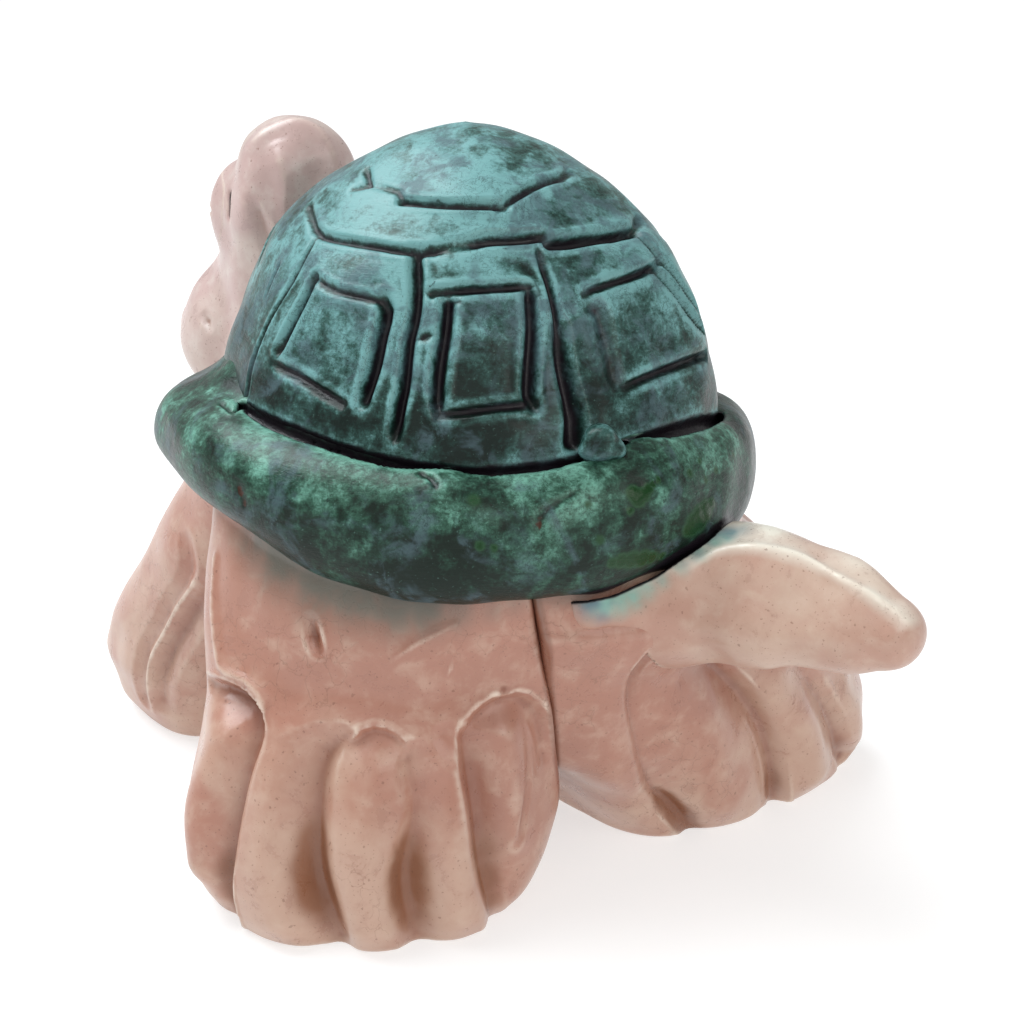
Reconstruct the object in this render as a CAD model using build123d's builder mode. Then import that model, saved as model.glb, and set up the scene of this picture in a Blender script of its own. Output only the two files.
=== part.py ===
"""Turtle figurine: a hand-built, glazed stoneware tortoise standing on four broad feet.

The figurine is put together the way a hand-builder makes it: two pinch pots (a belly bowl and
a shell dome) luted lip to lip, a fat coil wrapped round their seam as the shell's rim, four solid
legs, a tail and a head with neck pressed on with slip, two eye pellets and one stray clay pellet.
Each lump of clay is its own solid, cut back to the face of the piece that it is luted to.

Frame: +Z up, the feet stand on Z = 0, the head looks along -Y, the turtle's left is +X,
and the origin is under the middle of the figurine's bounding box. Millimetres.
"""

import os
from math import atan2, cos, degrees, radians, sin

from build123d import *

# ---------------------------------------------------------------- driving dimensions
SHELL_X = 6.34  # the shell's axis stands this far left of the origin,
SHELL_Y = 4.73  # and this far behind it
DOME_TOP = 112.0  # height of the shell's apex
DOME_R = 39.5  # outer radius of the shell where it meets the belly
SEAM_Z = 58.0  # height of the lip-to-lip seam between dome and belly
WALL = 6.0  # clay wall of both pinch pots
RIM_R = 40.0  # radius of the rim coil's centre line
RIM_A = 7.6  # half width of the coil, radially
RIM_B = 9.2  # half height of the coil
RIM_Z = 60.5  # height of the coil's centre line
RIM_TILT = 3.2  # degrees, the coil sits lower at the right rear
BELLY_BOTTOM = 30.0  # lowest point of the belly bowl
VENT_R = 2.5  # kiln vent through the belly
SLIP = 0.15  # film of slip left in the joints with the two pots and the coil
GROOVE_W = 2.0  # width of the lines carved between the scutes
GROOVE_D = 1.3  # depth of those lines
SCUTES = 8  # side scutes round the dome
SCUTE_TURN = 22.0  # degrees, where the first line between side scutes stands
SEAM_TURN = 73.0  # degrees, the upright seam in which the two rear legs meet, beside the tail
SEAM_LEAN = 0.2  # how far that seam leans over to the right as it goes down, per millimetre
TOE_OUT = 1.2  # how far the toes stand out of the foot

os.makedirs("parts", exist_ok=True)


def at(x, y, z):
    """A point given from the shell's axis, in the figurine's frame."""
    return (x + SHELL_X, y + SHELL_Y, z)


# ---------------------------------------------------------------- profiles of the two pots
dome_outer = [
    (0.0, DOME_TOP),
    (13.3, 108.3),
    (22.3, 101.9),
    (28.4, 95.6),
    (32.2, 89.4),
    (35.2, 83.0),
    (37.6, 76.0),
    (39.0, 69.0),
    (DOME_R, SEAM_Z),
]
dome_inner = [
    (0.0, DOME_TOP - WALL),
    (10.8, 102.8),
    (18.2, 97.2),
    (23.6, 91.6),
    (27.0, 86.2),
    (29.6, 80.8),
    (31.8, 74.6),
    (33.0, 68.4),
    (DOME_R - WALL, SEAM_Z),
]
dome_inset = [
    (0.0, DOME_TOP - GROOVE_D),
    (12.8, 107.1),
    (21.4, 100.95),
    (27.4, 94.75),
    (31.1, 88.7),
    (34.0, 82.5),
    (36.35, 75.7),
    (37.7, 68.9),
    (DOME_R - GROOVE_D, SEAM_Z),
]
belly_outer = [
    (DOME_R, SEAM_Z),
    (38.6, 50.0),
    (34.4, 42.0),
    (26.5, 35.0),
    (14.5, 31.0),
    (0.0, BELLY_BOTTOM),
]
belly_inner = [
    (DOME_R - WALL, SEAM_Z),
    (32.6, 51.0),
    (29.6, 45.5),
    (22.5, 40.0),
    (12.0, 36.7),
    (0.0, BELLY_BOTTOM + WALL),
]

axis = Axis(at(0, 0, 0), (0, 0, 1))
side = Plane(origin=at(0, 0, 0), x_dir=(1, 0, 0), z_dir=(0, -1, 0))


def solid_of(points, top):
    """A filled solid of revolution under (top) or over a pot's curve, down or up to the seam."""
    with BuildPart() as filled:
        with BuildSketch(side):
            with BuildLine():
                if top:
                    curve = Spline(*points, tangents=[(1, 0), (0, -1)])
                    Polyline(points[-1], (0, points[-1][1]), points[0])
                else:
                    curve = Spline(*points, tangents=[(0, -1), (-1, 0)])
                    Polyline(points[-1], (0, points[0][1]), points[0])
            make_face()
        revolve(axis=axis)
    return filled.part


dome_filled = solid_of(dome_outer, True)
dome_hollow = solid_of(dome_inner, True)
dome_core = solid_of(dome_inset, True)
belly_filled = solid_of(belly_outer, False)
belly_hollow = solid_of(belly_inner, False)

# both pots as one filled solid, a film of slip larger: what is luted to them is cut back to it
dome_slip = [(0.0, DOME_TOP + SLIP)] + [(r + SLIP, z) for r, z in dome_outer[1:]]
belly_slip = [(r + SLIP, z) for r, z in belly_outer[:-1]] + [(0.0, BELLY_BOTTOM - SLIP)]
with BuildPart() as pots:
    with BuildSketch(side):
        with BuildLine():
            Spline(*dome_slip, tangents=[(1, 0), (0, -1)])
            Spline(*belly_slip, tangents=[(0, -1), (-1, 0)])
            Line(belly_slip[-1], dome_slip[0])
        make_face()
    revolve(axis=axis)
body_filled = pots.part.rotate(axis, 31.0)


def lump(x, y, z, r, long, heading=0.0, lean=0.0):
    """A lump of clay, round about its long axis, leaned over and then turned about the vertical."""
    with BuildPart() as ball:
        with BuildSketch(Plane.XZ):
            Ellipse(r, long)
            with Locations((-r, 0)):
                Rectangle(2 * r, 3 * long, mode=Mode.SUBTRACT)
        revolve(axis=Axis.Z)
    return Location(at(x, y, z), (0, 0, heading)) * Location((0, 0, 0), (0, -lean, 0)) * ball.part


def whole(part):
    """The one lump that is left when slivers beside a cut are wiped off."""
    return max(part.solids(), key=lambda piece: piece.volume)


# ---------------------------------------------------------------- shell dome with carved scutes
# The tool for the carved lines: blades and frames that stand on the axis, with the inset core
# taken away, so that each line is GROOVE_D deep whatever the slope of the dome.
with BuildPart() as carving:
    # the lines between the side scutes, from the ring line down to the rim
    with BuildSketch(Plane(at(0, 0, SEAM_Z))):
        for i in range(SCUTES):
            with Locations(Location((0, 0, 0), SCUTE_TURN + i * 360.0 / SCUTES)):
                with Locations((34.0, 0)):
                    Rectangle(16.0, GROOVE_W)
    extrude(amount=39.0)
    # the ring line round the crown, an octagon, and the hexagon of the top scute inside it
    with BuildSketch(Plane(at(0, 0, SEAM_Z))):
        RegularPolygon(27.2, SCUTES, rotation=SCUTE_TURN)
        RegularPolygon(27.2 - GROOVE_W, SCUTES, rotation=SCUTE_TURN, mode=Mode.SUBTRACT)
        RegularPolygon(17.5, 6, rotation=15)
        RegularPolygon(17.5 - GROOVE_W, 6, rotation=15, mode=Mode.SUBTRACT)
    extrude(amount=60.0)
    # the square line inside each side scute, pressed in square to the wall
    for i in range(SCUTES):
        turn = SCUTE_TURN + (i + 0.5) * 360.0 / SCUTES
        plane = Plane(
            Location(at(0, 0, 83.0), (0, 0, turn)) * Location((0, 0, 0), (0, 90, 0))
        )
        with BuildSketch(plane):
            Rectangle(17.0, 14.5)
            Rectangle(17.0 - 2 * GROOVE_W, 14.5 - 2 * GROOVE_W, mode=Mode.SUBTRACT)
        extrude(amount=45.0)
    add(dome_core, mode=Mode.SUBTRACT)

with BuildPart() as shell_dome:
    add(dome_filled)
    add(carving.part, mode=Mode.SUBTRACT)
    add(dome_hollow, mode=Mode.SUBTRACT)
shell_dome.part.label = "shell_dome"

# ---------------------------------------------------------------- belly bowl with its kiln vent
with BuildPart() as belly_bowl:
    add(belly_filled)
    add(belly_hollow, mode=Mode.SUBTRACT)
    with Locations(at(0, 0, BELLY_BOTTOM)):
        Hole(VENT_R, depth=40.0)
belly_bowl.part.label = "belly_bowl"

# ---------------------------------------------------------------- rim coil round the seam
# The coil is tipped a little: lower at the right rear, higher at the left front.
tip_axis = Axis(at(0, 0, RIM_Z), (0.574, 0.819, 0))
with BuildPart() as rim_ring:
    with BuildSketch(side):
        with Locations((RIM_R, RIM_Z)):
            Ellipse(RIM_A, RIM_B)
    revolve(axis=axis)
rim_tipped = rim_ring.part.rotate(tip_axis, RIM_TILT)
with BuildPart() as rim_ring_slip:
    with BuildSketch(side):
        with Locations((RIM_R, RIM_Z)):
            Ellipse(RIM_A + SLIP, RIM_B + SLIP)
    revolve(axis=axis)
rim_slip = rim_ring_slip.part.rotate(tip_axis, RIM_TILT)
with BuildPart() as shell_rim:
    add(rim_tipped)
    add(body_filled, mode=Mode.SUBTRACT)
shell_rim.part.label = "shell_rim"

with BuildPart() as body_and_rim:
    add(body_filled)
    add(rim_slip)
body_with_rim = body_and_rim.part


# ---------------------------------------------------------------- legs
# the leaning seam between the two rear legs; its normal points at the right leg
rear_seam = Plane(
    origin=at(0.9 / sin(radians(SEAM_TURN)), 0, 42.0),
    z_dir=(-sin(radians(SEAM_TURN)), cos(radians(SEAM_TURN)), SEAM_LEAN),
)


def toes_round(foot, bearings):
    """Toes standing round a foot: bearings are (degrees round its ellipse, radius, half length)."""
    x, y, _, a, b, turn = foot
    toes = []
    for bearing, r, long in bearings:
        t = radians(bearing)
        u, v = (a - r + TOE_OUT) * cos(t), (b - r + TOE_OUT) * sin(t)
        c, s = cos(radians(turn)), sin(radians(turn))
        heading = turn + degrees(atan2(sin(t) / b, cos(t) / a))
        toes.append(lump(x + c * u - s * v, y + s * u + c * v, 11.0, r, long, heading, 10))
    return toes


def leg_of(sections, toes, keep):
    """A solid leg: a column lofted through ellipses, with toes round the front of its foot.

    sections: (x, y, z, half width x, half width y, turn) from the sole up
    toes: the toes' lumps of clay
    keep: (low x, high x, low y, high y) of the quarter that the leg fills
    """
    with BuildPart() as leg:
        for x, y, z, a, b, turn in sections:
            with BuildSketch(Plane(at(x, y, z))):
                Ellipse(a, b, rotation=turn)
        loft()
        add(toes)
        # the foot is pressed flat on the bench
        with Locations(at(0, 0, -20)):
            Box(300, 300, 40, mode=Mode.SUBTRACT)
        # the quarter under the shell that this leg fills
        low_x, high_x, low_y, high_y = keep
        with Locations(at((low_x + high_x) / 2, (low_y + high_y) / 2, 40)):
            Box(high_x - low_x, high_y - low_y, 80, mode=Mode.INTERSECT)
        add(body_with_rim, mode=Mode.SUBTRACT)
    return whole(leg.part)


def cut_at_seam(leg, kept):
    """A rear leg cut off at the seam, half a film of slip short of it."""
    gap = -SLIP / 2 if kept == Keep.BOTTOM else SLIP / 2
    with BuildPart() as half:
        add(leg)
        split(bisect_by=rear_seam.offset(gap), keep=kept)
    return whole(half.part)


rear_left_sections = [
    (28.0, 13.1, 0.0, 24.5, 22.5, -35),
    (26.9, 13.3, 12.0, 28.4, 23.4, -35),
    (25.3, 13.1, 32.0, 26.5, 21.0, -35),
    (24.4, 12.5, 52.0, 25.4, 19.0, -35),
]
rear_left_toes = [(12, 7.0, 15.0), (50, 8.2, 17.0), (85, 8.4, 17.5), (120, 8.0, 17.0), (152, 7.0, 16.0)]
rear_right_sections = [
    (-36.2, 13.8, 0.0, 27.5, 21.5, 0),
    (-33.6, 14.4, 14.0, 32.2, 22.6, 0),
    (-24.5, 15.0, 32.0, 31.4, 22.8, 0),
    (-16.5, 15.0, 52.0, 28.2, 25.0, 0),
]
rear_right_toes = [(72, 8.4, 16.0), (108, 8.6, 17.0), (140, 8.0, 17.0), (172, 7.6, 16.0), (205, 7.0, 14.0)]
front_sections = [
    (20.6, -56.8, 0.0, 14.5, 16.5, 0),
    (21.4, -55.4, 12.0, 17.6, 18.6, 0),
    (19.4, -43.8, 30.0, 16.5, 17.5, 0),
    (17.2, -25.0, 58.0, 15.5, 16.0, 0),
]
front_toes = [(-12, 6.6, 14.0), (-48, 6.8, 14.5), (-84, 6.8, 14.5), (-120, 6.4, 14.0)]


def mirrored_sections(sections):
    return [(-x, y, z, a, b, -turn) for x, y, z, a, b, turn in sections]


def mirrored_toes(toes):
    return [(180 - bearing, r, long) for bearing, r, long in toes]


rear_left_leg = cut_at_seam(
    leg_of(
        rear_left_sections,
        toes_round(rear_left_sections[1], rear_left_toes),
        (-30, 80, -14.4, 60),
    ),
    Keep.BOTTOM,
)
rear_left_leg.label = "rear_left_leg"
rear_right_leg = cut_at_seam(
    leg_of(
        rear_right_sections,
        toes_round(rear_right_sections[1], rear_right_toes),
        (-80, 30, -14.4, 60),
    ),
    Keep.TOP,
)
rear_right_leg.label = "rear_right_leg"
front_left_leg = leg_of(
    front_sections, toes_round(front_sections[1], front_toes), (0.3, 60, -90, -15.0)
)
front_left_leg.label = "front_left_leg"
front_right_sections = mirrored_sections(front_sections)
front_right_leg = leg_of(
    front_right_sections,
    toes_round(front_right_sections[1], mirrored_toes(front_toes)),
    (-60, -0.3, -90, -15.0),
)
front_right_leg.label = "front_right_leg"

# ---------------------------------------------------------------- tail
# a fat rolled cone, pressed on under the rim and lying over the right rear leg's root
tail_root = Vector(*at(-4.0, 23.0, 46.5))
tail_tip = Vector(*at(-28.3, 72.1, 45.8))
tail_len = (tail_tip - tail_root).length
tail_curve = [
    (9.0, 0.0),
    (9.8, 9.0),
    (10.4, 17.0),
    (9.4, 30.0),
    (7.3, 42.0),
    (5.2, 49.5),
    (0.0, tail_len),
]
with BuildPart() as tail_roll:
    with BuildSketch(Plane.XZ):
        with BuildLine():
            Spline(*tail_curve, tangents=[(0, 1), (-1, 0)])
            Polyline(tail_curve[-1], (0, 0), tail_curve[0])
        make_face()
    revolve(axis=Axis.Z)
tail_laid = Plane(origin=tail_root, z_dir=tail_tip - tail_root).location * tail_roll.part
with BuildPart() as tail:
    add(tail_laid)
    add(body_with_rim, mode=Mode.SUBTRACT)
    add(rear_left_leg, mode=Mode.SUBTRACT)
    add(rear_right_leg, mode=Mode.SUBTRACT)
tail = whole(tail.part)
tail.label = "tail"

# ---------------------------------------------------------------- head with its neck
neck_sections = [
    (-36.0, 38.0, 11.5, 12.0),
    (-46.0, 50.0, 12.5, 13.2),
    (-53.5, 66.0, 12.4, 12.6),
    (-55.5, 90.0, 10.9, 11.0),
]
crown = lump(0, -54.2, 94.6, 11.1, 12.5, 50)
brow = lump(0, -62.0, 88.6, 7.4, 8.8, 20)
snout = Pos(*at(0, -64.8, 76.5)) * Sphere(9.6)
muzzle = Pos(*at(0, -69.3, 65.6)) * Sphere(12.6)
with BuildPart() as neck:
    for y, z, a, b in neck_sections:
        with BuildSketch(Plane(at(0, y, z))):
            Ellipse(a, b)
    loft()
# head and neck are one lump of clay, pressed into the saddle between the legs and the coil
head = neck.part + crown + brow + snout + muzzle
head = whole(head - body_filled - rim_slip - front_left_leg - front_right_leg)
head.label = "head"

# two eye pellets pressed on the brow, each cut back to its own side of the face
left_pellet = lump(5.0, -63.4, 89.4, 5.9, 7.4)
with BuildPart() as left_eye:
    add(left_pellet)
    with Locations(at(40.1, -63, 89)):
        Box(80, 60, 60, mode=Mode.INTERSECT)
    add(head, mode=Mode.SUBTRACT)
left_eye = whole(left_eye.part)
left_eye.label = "left_eye"

right_pellet = lump(-5.0, -63.4, 89.4, 5.9, 7.4)
with BuildPart() as right_eye:
    add(right_pellet)
    with Locations(at(-40.1, -63, 89)):
        Box(80, 60, 60, mode=Mode.INTERSECT)
    add(head, mode=Mode.SUBTRACT)
right_eye = whole(right_eye.part)
right_eye.label = "right_eye"

# ---------------------------------------------------------------- a stray pellet of clay on the rim
crumb = lump(4.56, 39.28, 72.75, 2.7, 3.2, 83, 90)
with BuildPart() as shell_pellet:
    add(crumb)
    add(body_with_rim, mode=Mode.SUBTRACT)
shell_pellet.part.label = "shell_pellet"

# ---------------------------------------------------------------- one STEP per piece
export_step(shell_dome.part, "parts/shell_dome.step")
export_step(belly_bowl.part, "parts/belly_bowl.step")
export_step(shell_rim.part, "parts/shell_rim.step")
export_step(rear_left_leg, "parts/rear_left_leg.step")
export_step(rear_right_leg, "parts/rear_right_leg.step")
export_step(front_left_leg, "parts/front_left_leg.step")
export_step(front_right_leg, "parts/front_right_leg.step")
export_step(tail, "parts/tail.step")
export_step(head, "parts/head.step")
export_step(left_eye, "parts/left_eye.step")
export_step(right_eye, "parts/right_eye.step")
export_step(shell_pellet.part, "parts/shell_pellet.step")
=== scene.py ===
import math

import bpy
import numpy as np
from mathutils import Matrix, Vector


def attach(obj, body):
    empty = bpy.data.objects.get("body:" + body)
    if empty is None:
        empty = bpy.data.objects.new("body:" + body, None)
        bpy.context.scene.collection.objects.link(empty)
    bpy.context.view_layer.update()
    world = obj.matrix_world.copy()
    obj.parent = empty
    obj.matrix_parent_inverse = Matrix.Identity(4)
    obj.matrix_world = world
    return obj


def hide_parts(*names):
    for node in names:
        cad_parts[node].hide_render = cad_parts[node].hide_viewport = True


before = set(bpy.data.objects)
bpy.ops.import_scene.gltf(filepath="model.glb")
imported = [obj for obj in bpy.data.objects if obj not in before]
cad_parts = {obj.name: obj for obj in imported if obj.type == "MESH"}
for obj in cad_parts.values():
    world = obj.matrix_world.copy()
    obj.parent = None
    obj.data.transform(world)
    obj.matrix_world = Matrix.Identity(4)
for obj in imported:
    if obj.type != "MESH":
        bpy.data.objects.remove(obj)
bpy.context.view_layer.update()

# ------------------------------------------------------------------ frame of the sculpture
# Everything below is sculpted in millimetres from the shell's axis: x = y = 0 on that axis,
# z = 0 on the table, the head towards -y, the turtle's left towards +x.
MM = 0.001
SHELL_X, SHELL_Y = 6.34, 4.73
FACE = 55.0  # degrees: the side of the shell that the picture is taken from
F32 = np.float32


# ------------------------------------------------------------------ small solids
def smin(a, b, k):
    h = np.clip(0.5 + 0.5 * (b - a) / k, 0.0, 1.0)
    return b + (a - b) * h - k * h * (1.0 - h)


def smax(a, b, k):
    return -smin(-a, -b, k)


def ell(P, c, r, yaw=0.0, lean=0.0):
    """Ellipsoid at c with half sizes r, leaned about y and then turned about z (degrees)."""
    x, y, z = P[0] - c[0], P[1] - c[1], P[2] - c[2]
    if yaw:
        a = math.radians(yaw)
        ca, sa = math.cos(a), math.sin(a)
        x, y = ca * x + sa * y, -sa * x + ca * y
    if lean:
        a = math.radians(lean)
        ca, sa = math.cos(a), math.sin(a)
        x, z = ca * x - sa * z, sa * x + ca * z
    k0 = np.sqrt((x / r[0]) ** 2 + (y / r[1]) ** 2 + (z / r[2]) ** 2)
    k1 = np.sqrt((x / r[0] ** 2) ** 2 + (y / r[1] ** 2) ** 2 + (z / r[2] ** 2) ** 2)
    return np.where(k1 > 1e-6, k0 * (k0 - 1.0) / np.maximum(k1, 1e-6), -min(r))


def cone(P, a, b, ra, rb):
    """Round cone from a to b."""
    d = [b[i] - a[i] for i in range(3)]
    q = [P[i] - a[i] for i in range(3)]
    n = d[0] ** 2 + d[1] ** 2 + d[2] ** 2
    t = np.clip((q[0] * d[0] + q[1] * d[1] + q[2] * d[2]) / n, 0.0, 1.0)
    dist = np.sqrt(sum((q[i] - t * d[i]) ** 2 for i in range(3)))
    return dist - (ra + (rb - ra) * t)


def chain(P, pts, k=0.0):
    """Round cones along (x, y, z, r) points."""
    out = None
    for a, b in zip(pts[:-1], pts[1:]):
        d = cone(P, a, b, a[3], b[3])
        out = d if out is None else (smin(out, d, k) if k else np.minimum(out, d))
    return out


def line_dist(P, pts):
    out = None
    for a, b in zip(pts[:-1], pts[1:]):
        d = cone(P, a, b, 0.0, 0.0)
        out = d if out is None else np.minimum(out, d)
    return out


def waves(P, seed, size, n=7):
    """Smooth hand-made unevenness, about -1 to 1, with bumps about size mm across."""
    rng = np.random.default_rng(seed)
    out = 0.0
    for _ in range(n):
        v = rng.normal(size=3)
        v *= (2 * math.pi / (2 * size)) * rng.uniform(0.6, 1.4) / np.linalg.norm(v)
        out = out + np.sin(P[0] * F32(v[0]) + P[1] * F32(v[1]) + P[2] * F32(v[2]) + F32(rng.uniform(0, 6.28)))
    return out * F32(1.0 / math.sqrt(n * 0.9))


# ------------------------------------------------------------------ from solid to mesh
def field(f, lo, hi, h):
    """Samples f on a grid, but only near its skin. Returns the grid's values and its origin."""
    B = 8
    n = [int(math.ceil((hi[i] - lo[i]) / h / B)) * B for i in range(3)]
    nb = [k // B for k in n]
    # one more layer of points closes the last cells
    V = np.full([k + 1 for k in n], 9.0, F32)
    centres = np.meshgrid(
        *[lo[i] + h * (B * np.arange(nb[i]) + B / 2) for i in range(3)], indexing="ij"
    )
    c = f(tuple(a.ravel().astype(F32) for a in centres)).reshape(nb)
    reach = h * B * 0.5 * math.sqrt(3) * 1.35 + 1.2
    near = np.argwhere(np.abs(c) < reach)
    far_in = np.argwhere(c <= -reach)
    for i, j, k in far_in:
        V[i * B : i * B + B + 1, j * B : j * B + B + 1, k * B : k * B + B + 1] = -9.0
    off = np.arange(B + 1, dtype=F32) * h
    ox, oy, oz = np.meshgrid(off, off, off, indexing="ij")
    for s in range(0, len(near), 300):
        blk = near[s : s + 300]
        base = np.array(lo, F32) + blk.astype(F32) * F32(B * h)
        X = (base[:, 0][:, None] + ox.ravel()[None]).ravel()
        Y = (base[:, 1][:, None] + oy.ravel()[None]).ravel()
        Z = (base[:, 2][:, None] + oz.ravel()[None]).ravel()
        d = f((X, Y, Z)).reshape(len(blk), B + 1, B + 1, B + 1)
        for (i, j, k), v in zip(blk, d):
            V[i * B : i * B + B + 1, j * B : j * B + B + 1, k * B : k * B + B + 1] = v
    return V


CORNERS = [(0, 0, 0), (1, 0, 0), (0, 1, 0), (1, 1, 0), (0, 0, 1), (1, 0, 1), (0, 1, 1), (1, 1, 1)]
EDGES = [(a, b) for a in range(8) for b in range(a + 1, 8) if sum(abs(CORNERS[a][i] - CORNERS[b][i]) for i in range(3)) == 1]


def skin(f, lo, hi, h):
    """Vertices and quads of f = 0, by surface nets, drawn on to the skin itself."""
    V = field(f, lo, hi, h)
    nx, ny, nz = (s - 1 for s in V.shape)

    def corner(c):
        return V[c[0] : c[0] + nx, c[1] : c[1] + ny, c[2] : c[2] + nz]

    neg = sum((corner(c) < 0).astype(np.int8) for c in CORNERS)
    active = np.argwhere((neg > 0) & (neg < 8))
    vid = np.full((nx, ny, nz), -1, np.int32)
    vid[active[:, 0], active[:, 1], active[:, 2]] = np.arange(len(active))
    val = [V[active[:, 0] + c[0], active[:, 1] + c[1], active[:, 2] + c[2]] for c in CORNERS]
    pos = np.zeros((len(active), 3), F32)
    cnt = np.zeros(len(active), F32)
    for a, b in EDGES:
        va, vb = val[a], val[b]
        cross = (va < 0) != (vb < 0)
        t = np.where(cross, va / np.where(cross, va - vb, 1.0), 0.0)
        for i in range(3):
            pos[:, i] += np.where(cross, CORNERS[a][i] + t * (CORNERS[b][i] - CORNERS[a][i]), 0.0)
        cnt += cross
    pos = (pos / np.maximum(cnt, 1)[:, None] + active) * h + np.array(lo, F32)
    quads = []
    for ax in range(3):
        o1, o2 = (ax + 1) % 3, (ax + 2) % 3
        s0 = [slice(None)] * 3
        s1 = [slice(None)] * 3
        s0[ax] = slice(0, -1)
        s1[ax] = slice(1, None)
        a, b = V[tuple(s0)] < 0, V[tuple(s1)] < 0
        e = np.argwhere(a != b)
        flip = a[e[:, 0], e[:, 1], e[:, 2]]
        ok = (e[:, o1] > 0) & (e[:, o2] > 0) & (e[:, o1] < V.shape[o1] - 1) & (e[:, o2] < V.shape[o2] - 1)
        e, flip = e[ok], flip[ok]
        cells = []
        for d1, d2 in ((0, 0), (-1, 0), (-1, -1), (0, -1)):
            q = e.copy()
            q[:, o1] += d1
            q[:, o2] += d2
            cells.append(vid[q[:, 0], q[:, 1], q[:, 2]])
        Q = np.stack(cells, 1)
        Q[~flip] = Q[~flip][:, ::-1]
        quads.append(Q)
    Q = np.concatenate(quads)
    Q = Q[(Q >= 0).all(1)]
    for _ in range(2):
        pos = pos - step_to(f, pos, h)
    return pos, Q


def grad(f, pos, e):
    g = np.zeros_like(pos)
    for i in range(3):
        a, b = pos.copy(), pos.copy()
        a[:, i] += e
        b[:, i] -= e
        g[:, i] = (f((a[:, 0], a[:, 1], a[:, 2])) - f((b[:, 0], b[:, 1], b[:, 2]))) / (2 * e)
    return g


def step_to(f, pos, h):
    d = f((pos[:, 0], pos[:, 1], pos[:, 2]))
    g = grad(f, pos, 0.25 * h)
    n = np.maximum((g * g).sum(1), 0.15)
    return np.clip(d / n, -0.6 * h, 0.6 * h)[:, None] * g


def hollows(pos, Q, rounds):
    """How hollow (-) or ridged (+) the skin is at each vertex, looked at over rounds steps."""
    n = len(pos)
    E = np.concatenate([Q[:, [0, 1]], Q[:, [1, 2]], Q[:, [2, 3]], Q[:, [3, 0]]])
    deg = np.bincount(E.ravel(), minlength=n).astype(F32)

    def mean(a):
        out = np.zeros_like(a)
        for i in range(a.shape[1]):
            out[:, i] = np.bincount(E[:, 0], a[E[:, 1], i], n) + np.bincount(E[:, 1], a[E[:, 0], i], n)
        return out / np.maximum(deg, 1)[:, None]

    p = pos[Q]
    fn = np.cross(p[:, 2] - p[:, 0], p[:, 3] - p[:, 1])
    N = np.zeros((n, 3), F32)
    for c in range(4):
        for i in range(3):
            N[:, i] += np.bincount(Q[:, c], fn[:, i], n)
    N /= np.maximum(np.linalg.norm(N, axis=1), 1e-9)[:, None]
    s = pos.astype(np.float64)
    for _ in range(rounds):
        s = 0.5 * s + 0.5 * mean(s)
    v = (((pos - s) * N).sum(1))[:, None]
    for _ in range(2):
        v = 0.5 * v + 0.5 * mean(v)
    return v[:, 0].astype(F32), N


def put_mesh(name, pos, faces, data, node, mat):
    """A mesh piece of the object: faces is a list of arrays of quads or triangles."""
    me = bpy.data.meshes.new(name)
    world = np.asarray(pos, np.float64) * MM
    world[:, 0] += SHELL_X * MM
    world[:, 1] += SHELL_Y * MM
    me.vertices.add(len(world))
    me.vertices.foreach_set("co", world.astype(F32).ravel())
    loops = np.concatenate([np.asarray(q).ravel() for q in faces]).astype(np.int32)
    sizes = np.concatenate([np.full(len(q), q.shape[1]) for q in faces])
    me.loops.add(len(loops))
    me.loops.foreach_set("vertex_index", loops)
    me.polygons.add(len(sizes))
    me.polygons.foreach_set("loop_start", (np.cumsum(sizes) - sizes).astype(np.int32))
    me.update(calc_edges=True)
    me.validate()
    for k, v in data.items():
        at = me.attributes.new(k, "FLOAT", "POINT")
        at.data.foreach_set("value", np.asarray(v, F32))
    me.polygons.foreach_set("use_smooth", np.ones(len(me.polygons), bool))
    ob = bpy.data.objects.new(name, me)
    bpy.context.scene.collection.objects.link(ob)
    me.materials.append(mat)
    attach(ob, "root")
    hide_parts(node)
    return ob


def make_piece(name, f, lo, hi, h, node, mat, marks=None):
    pos, Q = skin(f, lo, hi, h)
    ridge, N = hollows(pos, Q, max(3, int(round((1.1 / h) ** 2))))
    broad, _ = hollows(pos, Q, 30)
    data = {"ridge": ridge, "broad": broad}
    if marks:
        data.update(marks((pos[:, 0], pos[:, 1], pos[:, 2]), N))
    return put_mesh(name, pos, [Q], data, node, mat)


# ------------------------------------------------------------------ the two pots
DOME = [
    (0.0, 112.0), (4.5, 111.3), (9.0, 109.9), (13.3, 108.0), (18.9, 104.7), (22.3, 101.9), (28.2, 95.7),
    (31.9, 89.6), (34.9, 83.3), (37.3, 77.0), (38.9, 70.5), (39.4, 66.0), (39.5, 58.0), (39.5, 50.0),
]
BELLY = [(39.3, 60.0), (38.4, 50.0), (34.0, 42.0), (26.0, 35.0), (14.0, 31.0), (0.0, 30.0)]


def smooth_curve(pts, n=160):
    """A Catmull-Rom curve through pts, evenly resampled."""
    p = np.array(pts, float)
    q = np.vstack([2 * p[0] - p[1], p, 2 * p[-1] - p[-2]])
    out = []
    for i in range(1, len(q) - 2):
        for t in np.linspace(0, 1, 24, endpoint=False):
            a, b, c, d = q[i - 1], q[i], q[i + 1], q[i + 2]
            out.append(0.5 * (2 * b + (c - a) * t + (2 * a - 5 * b + 4 * c - d) * t * t + (3 * b - a - 3 * c + d) * t**3))
    out.append(p[-1])
    out = np.array(out)
    s = np.concatenate([[0], np.cumsum(np.linalg.norm(np.diff(out, axis=0), axis=1))])
    u = np.linspace(0, s[-1], n)
    return np.stack([np.interp(u, s, out[:, i]) for i in range(out.shape[1])], 1)


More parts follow.
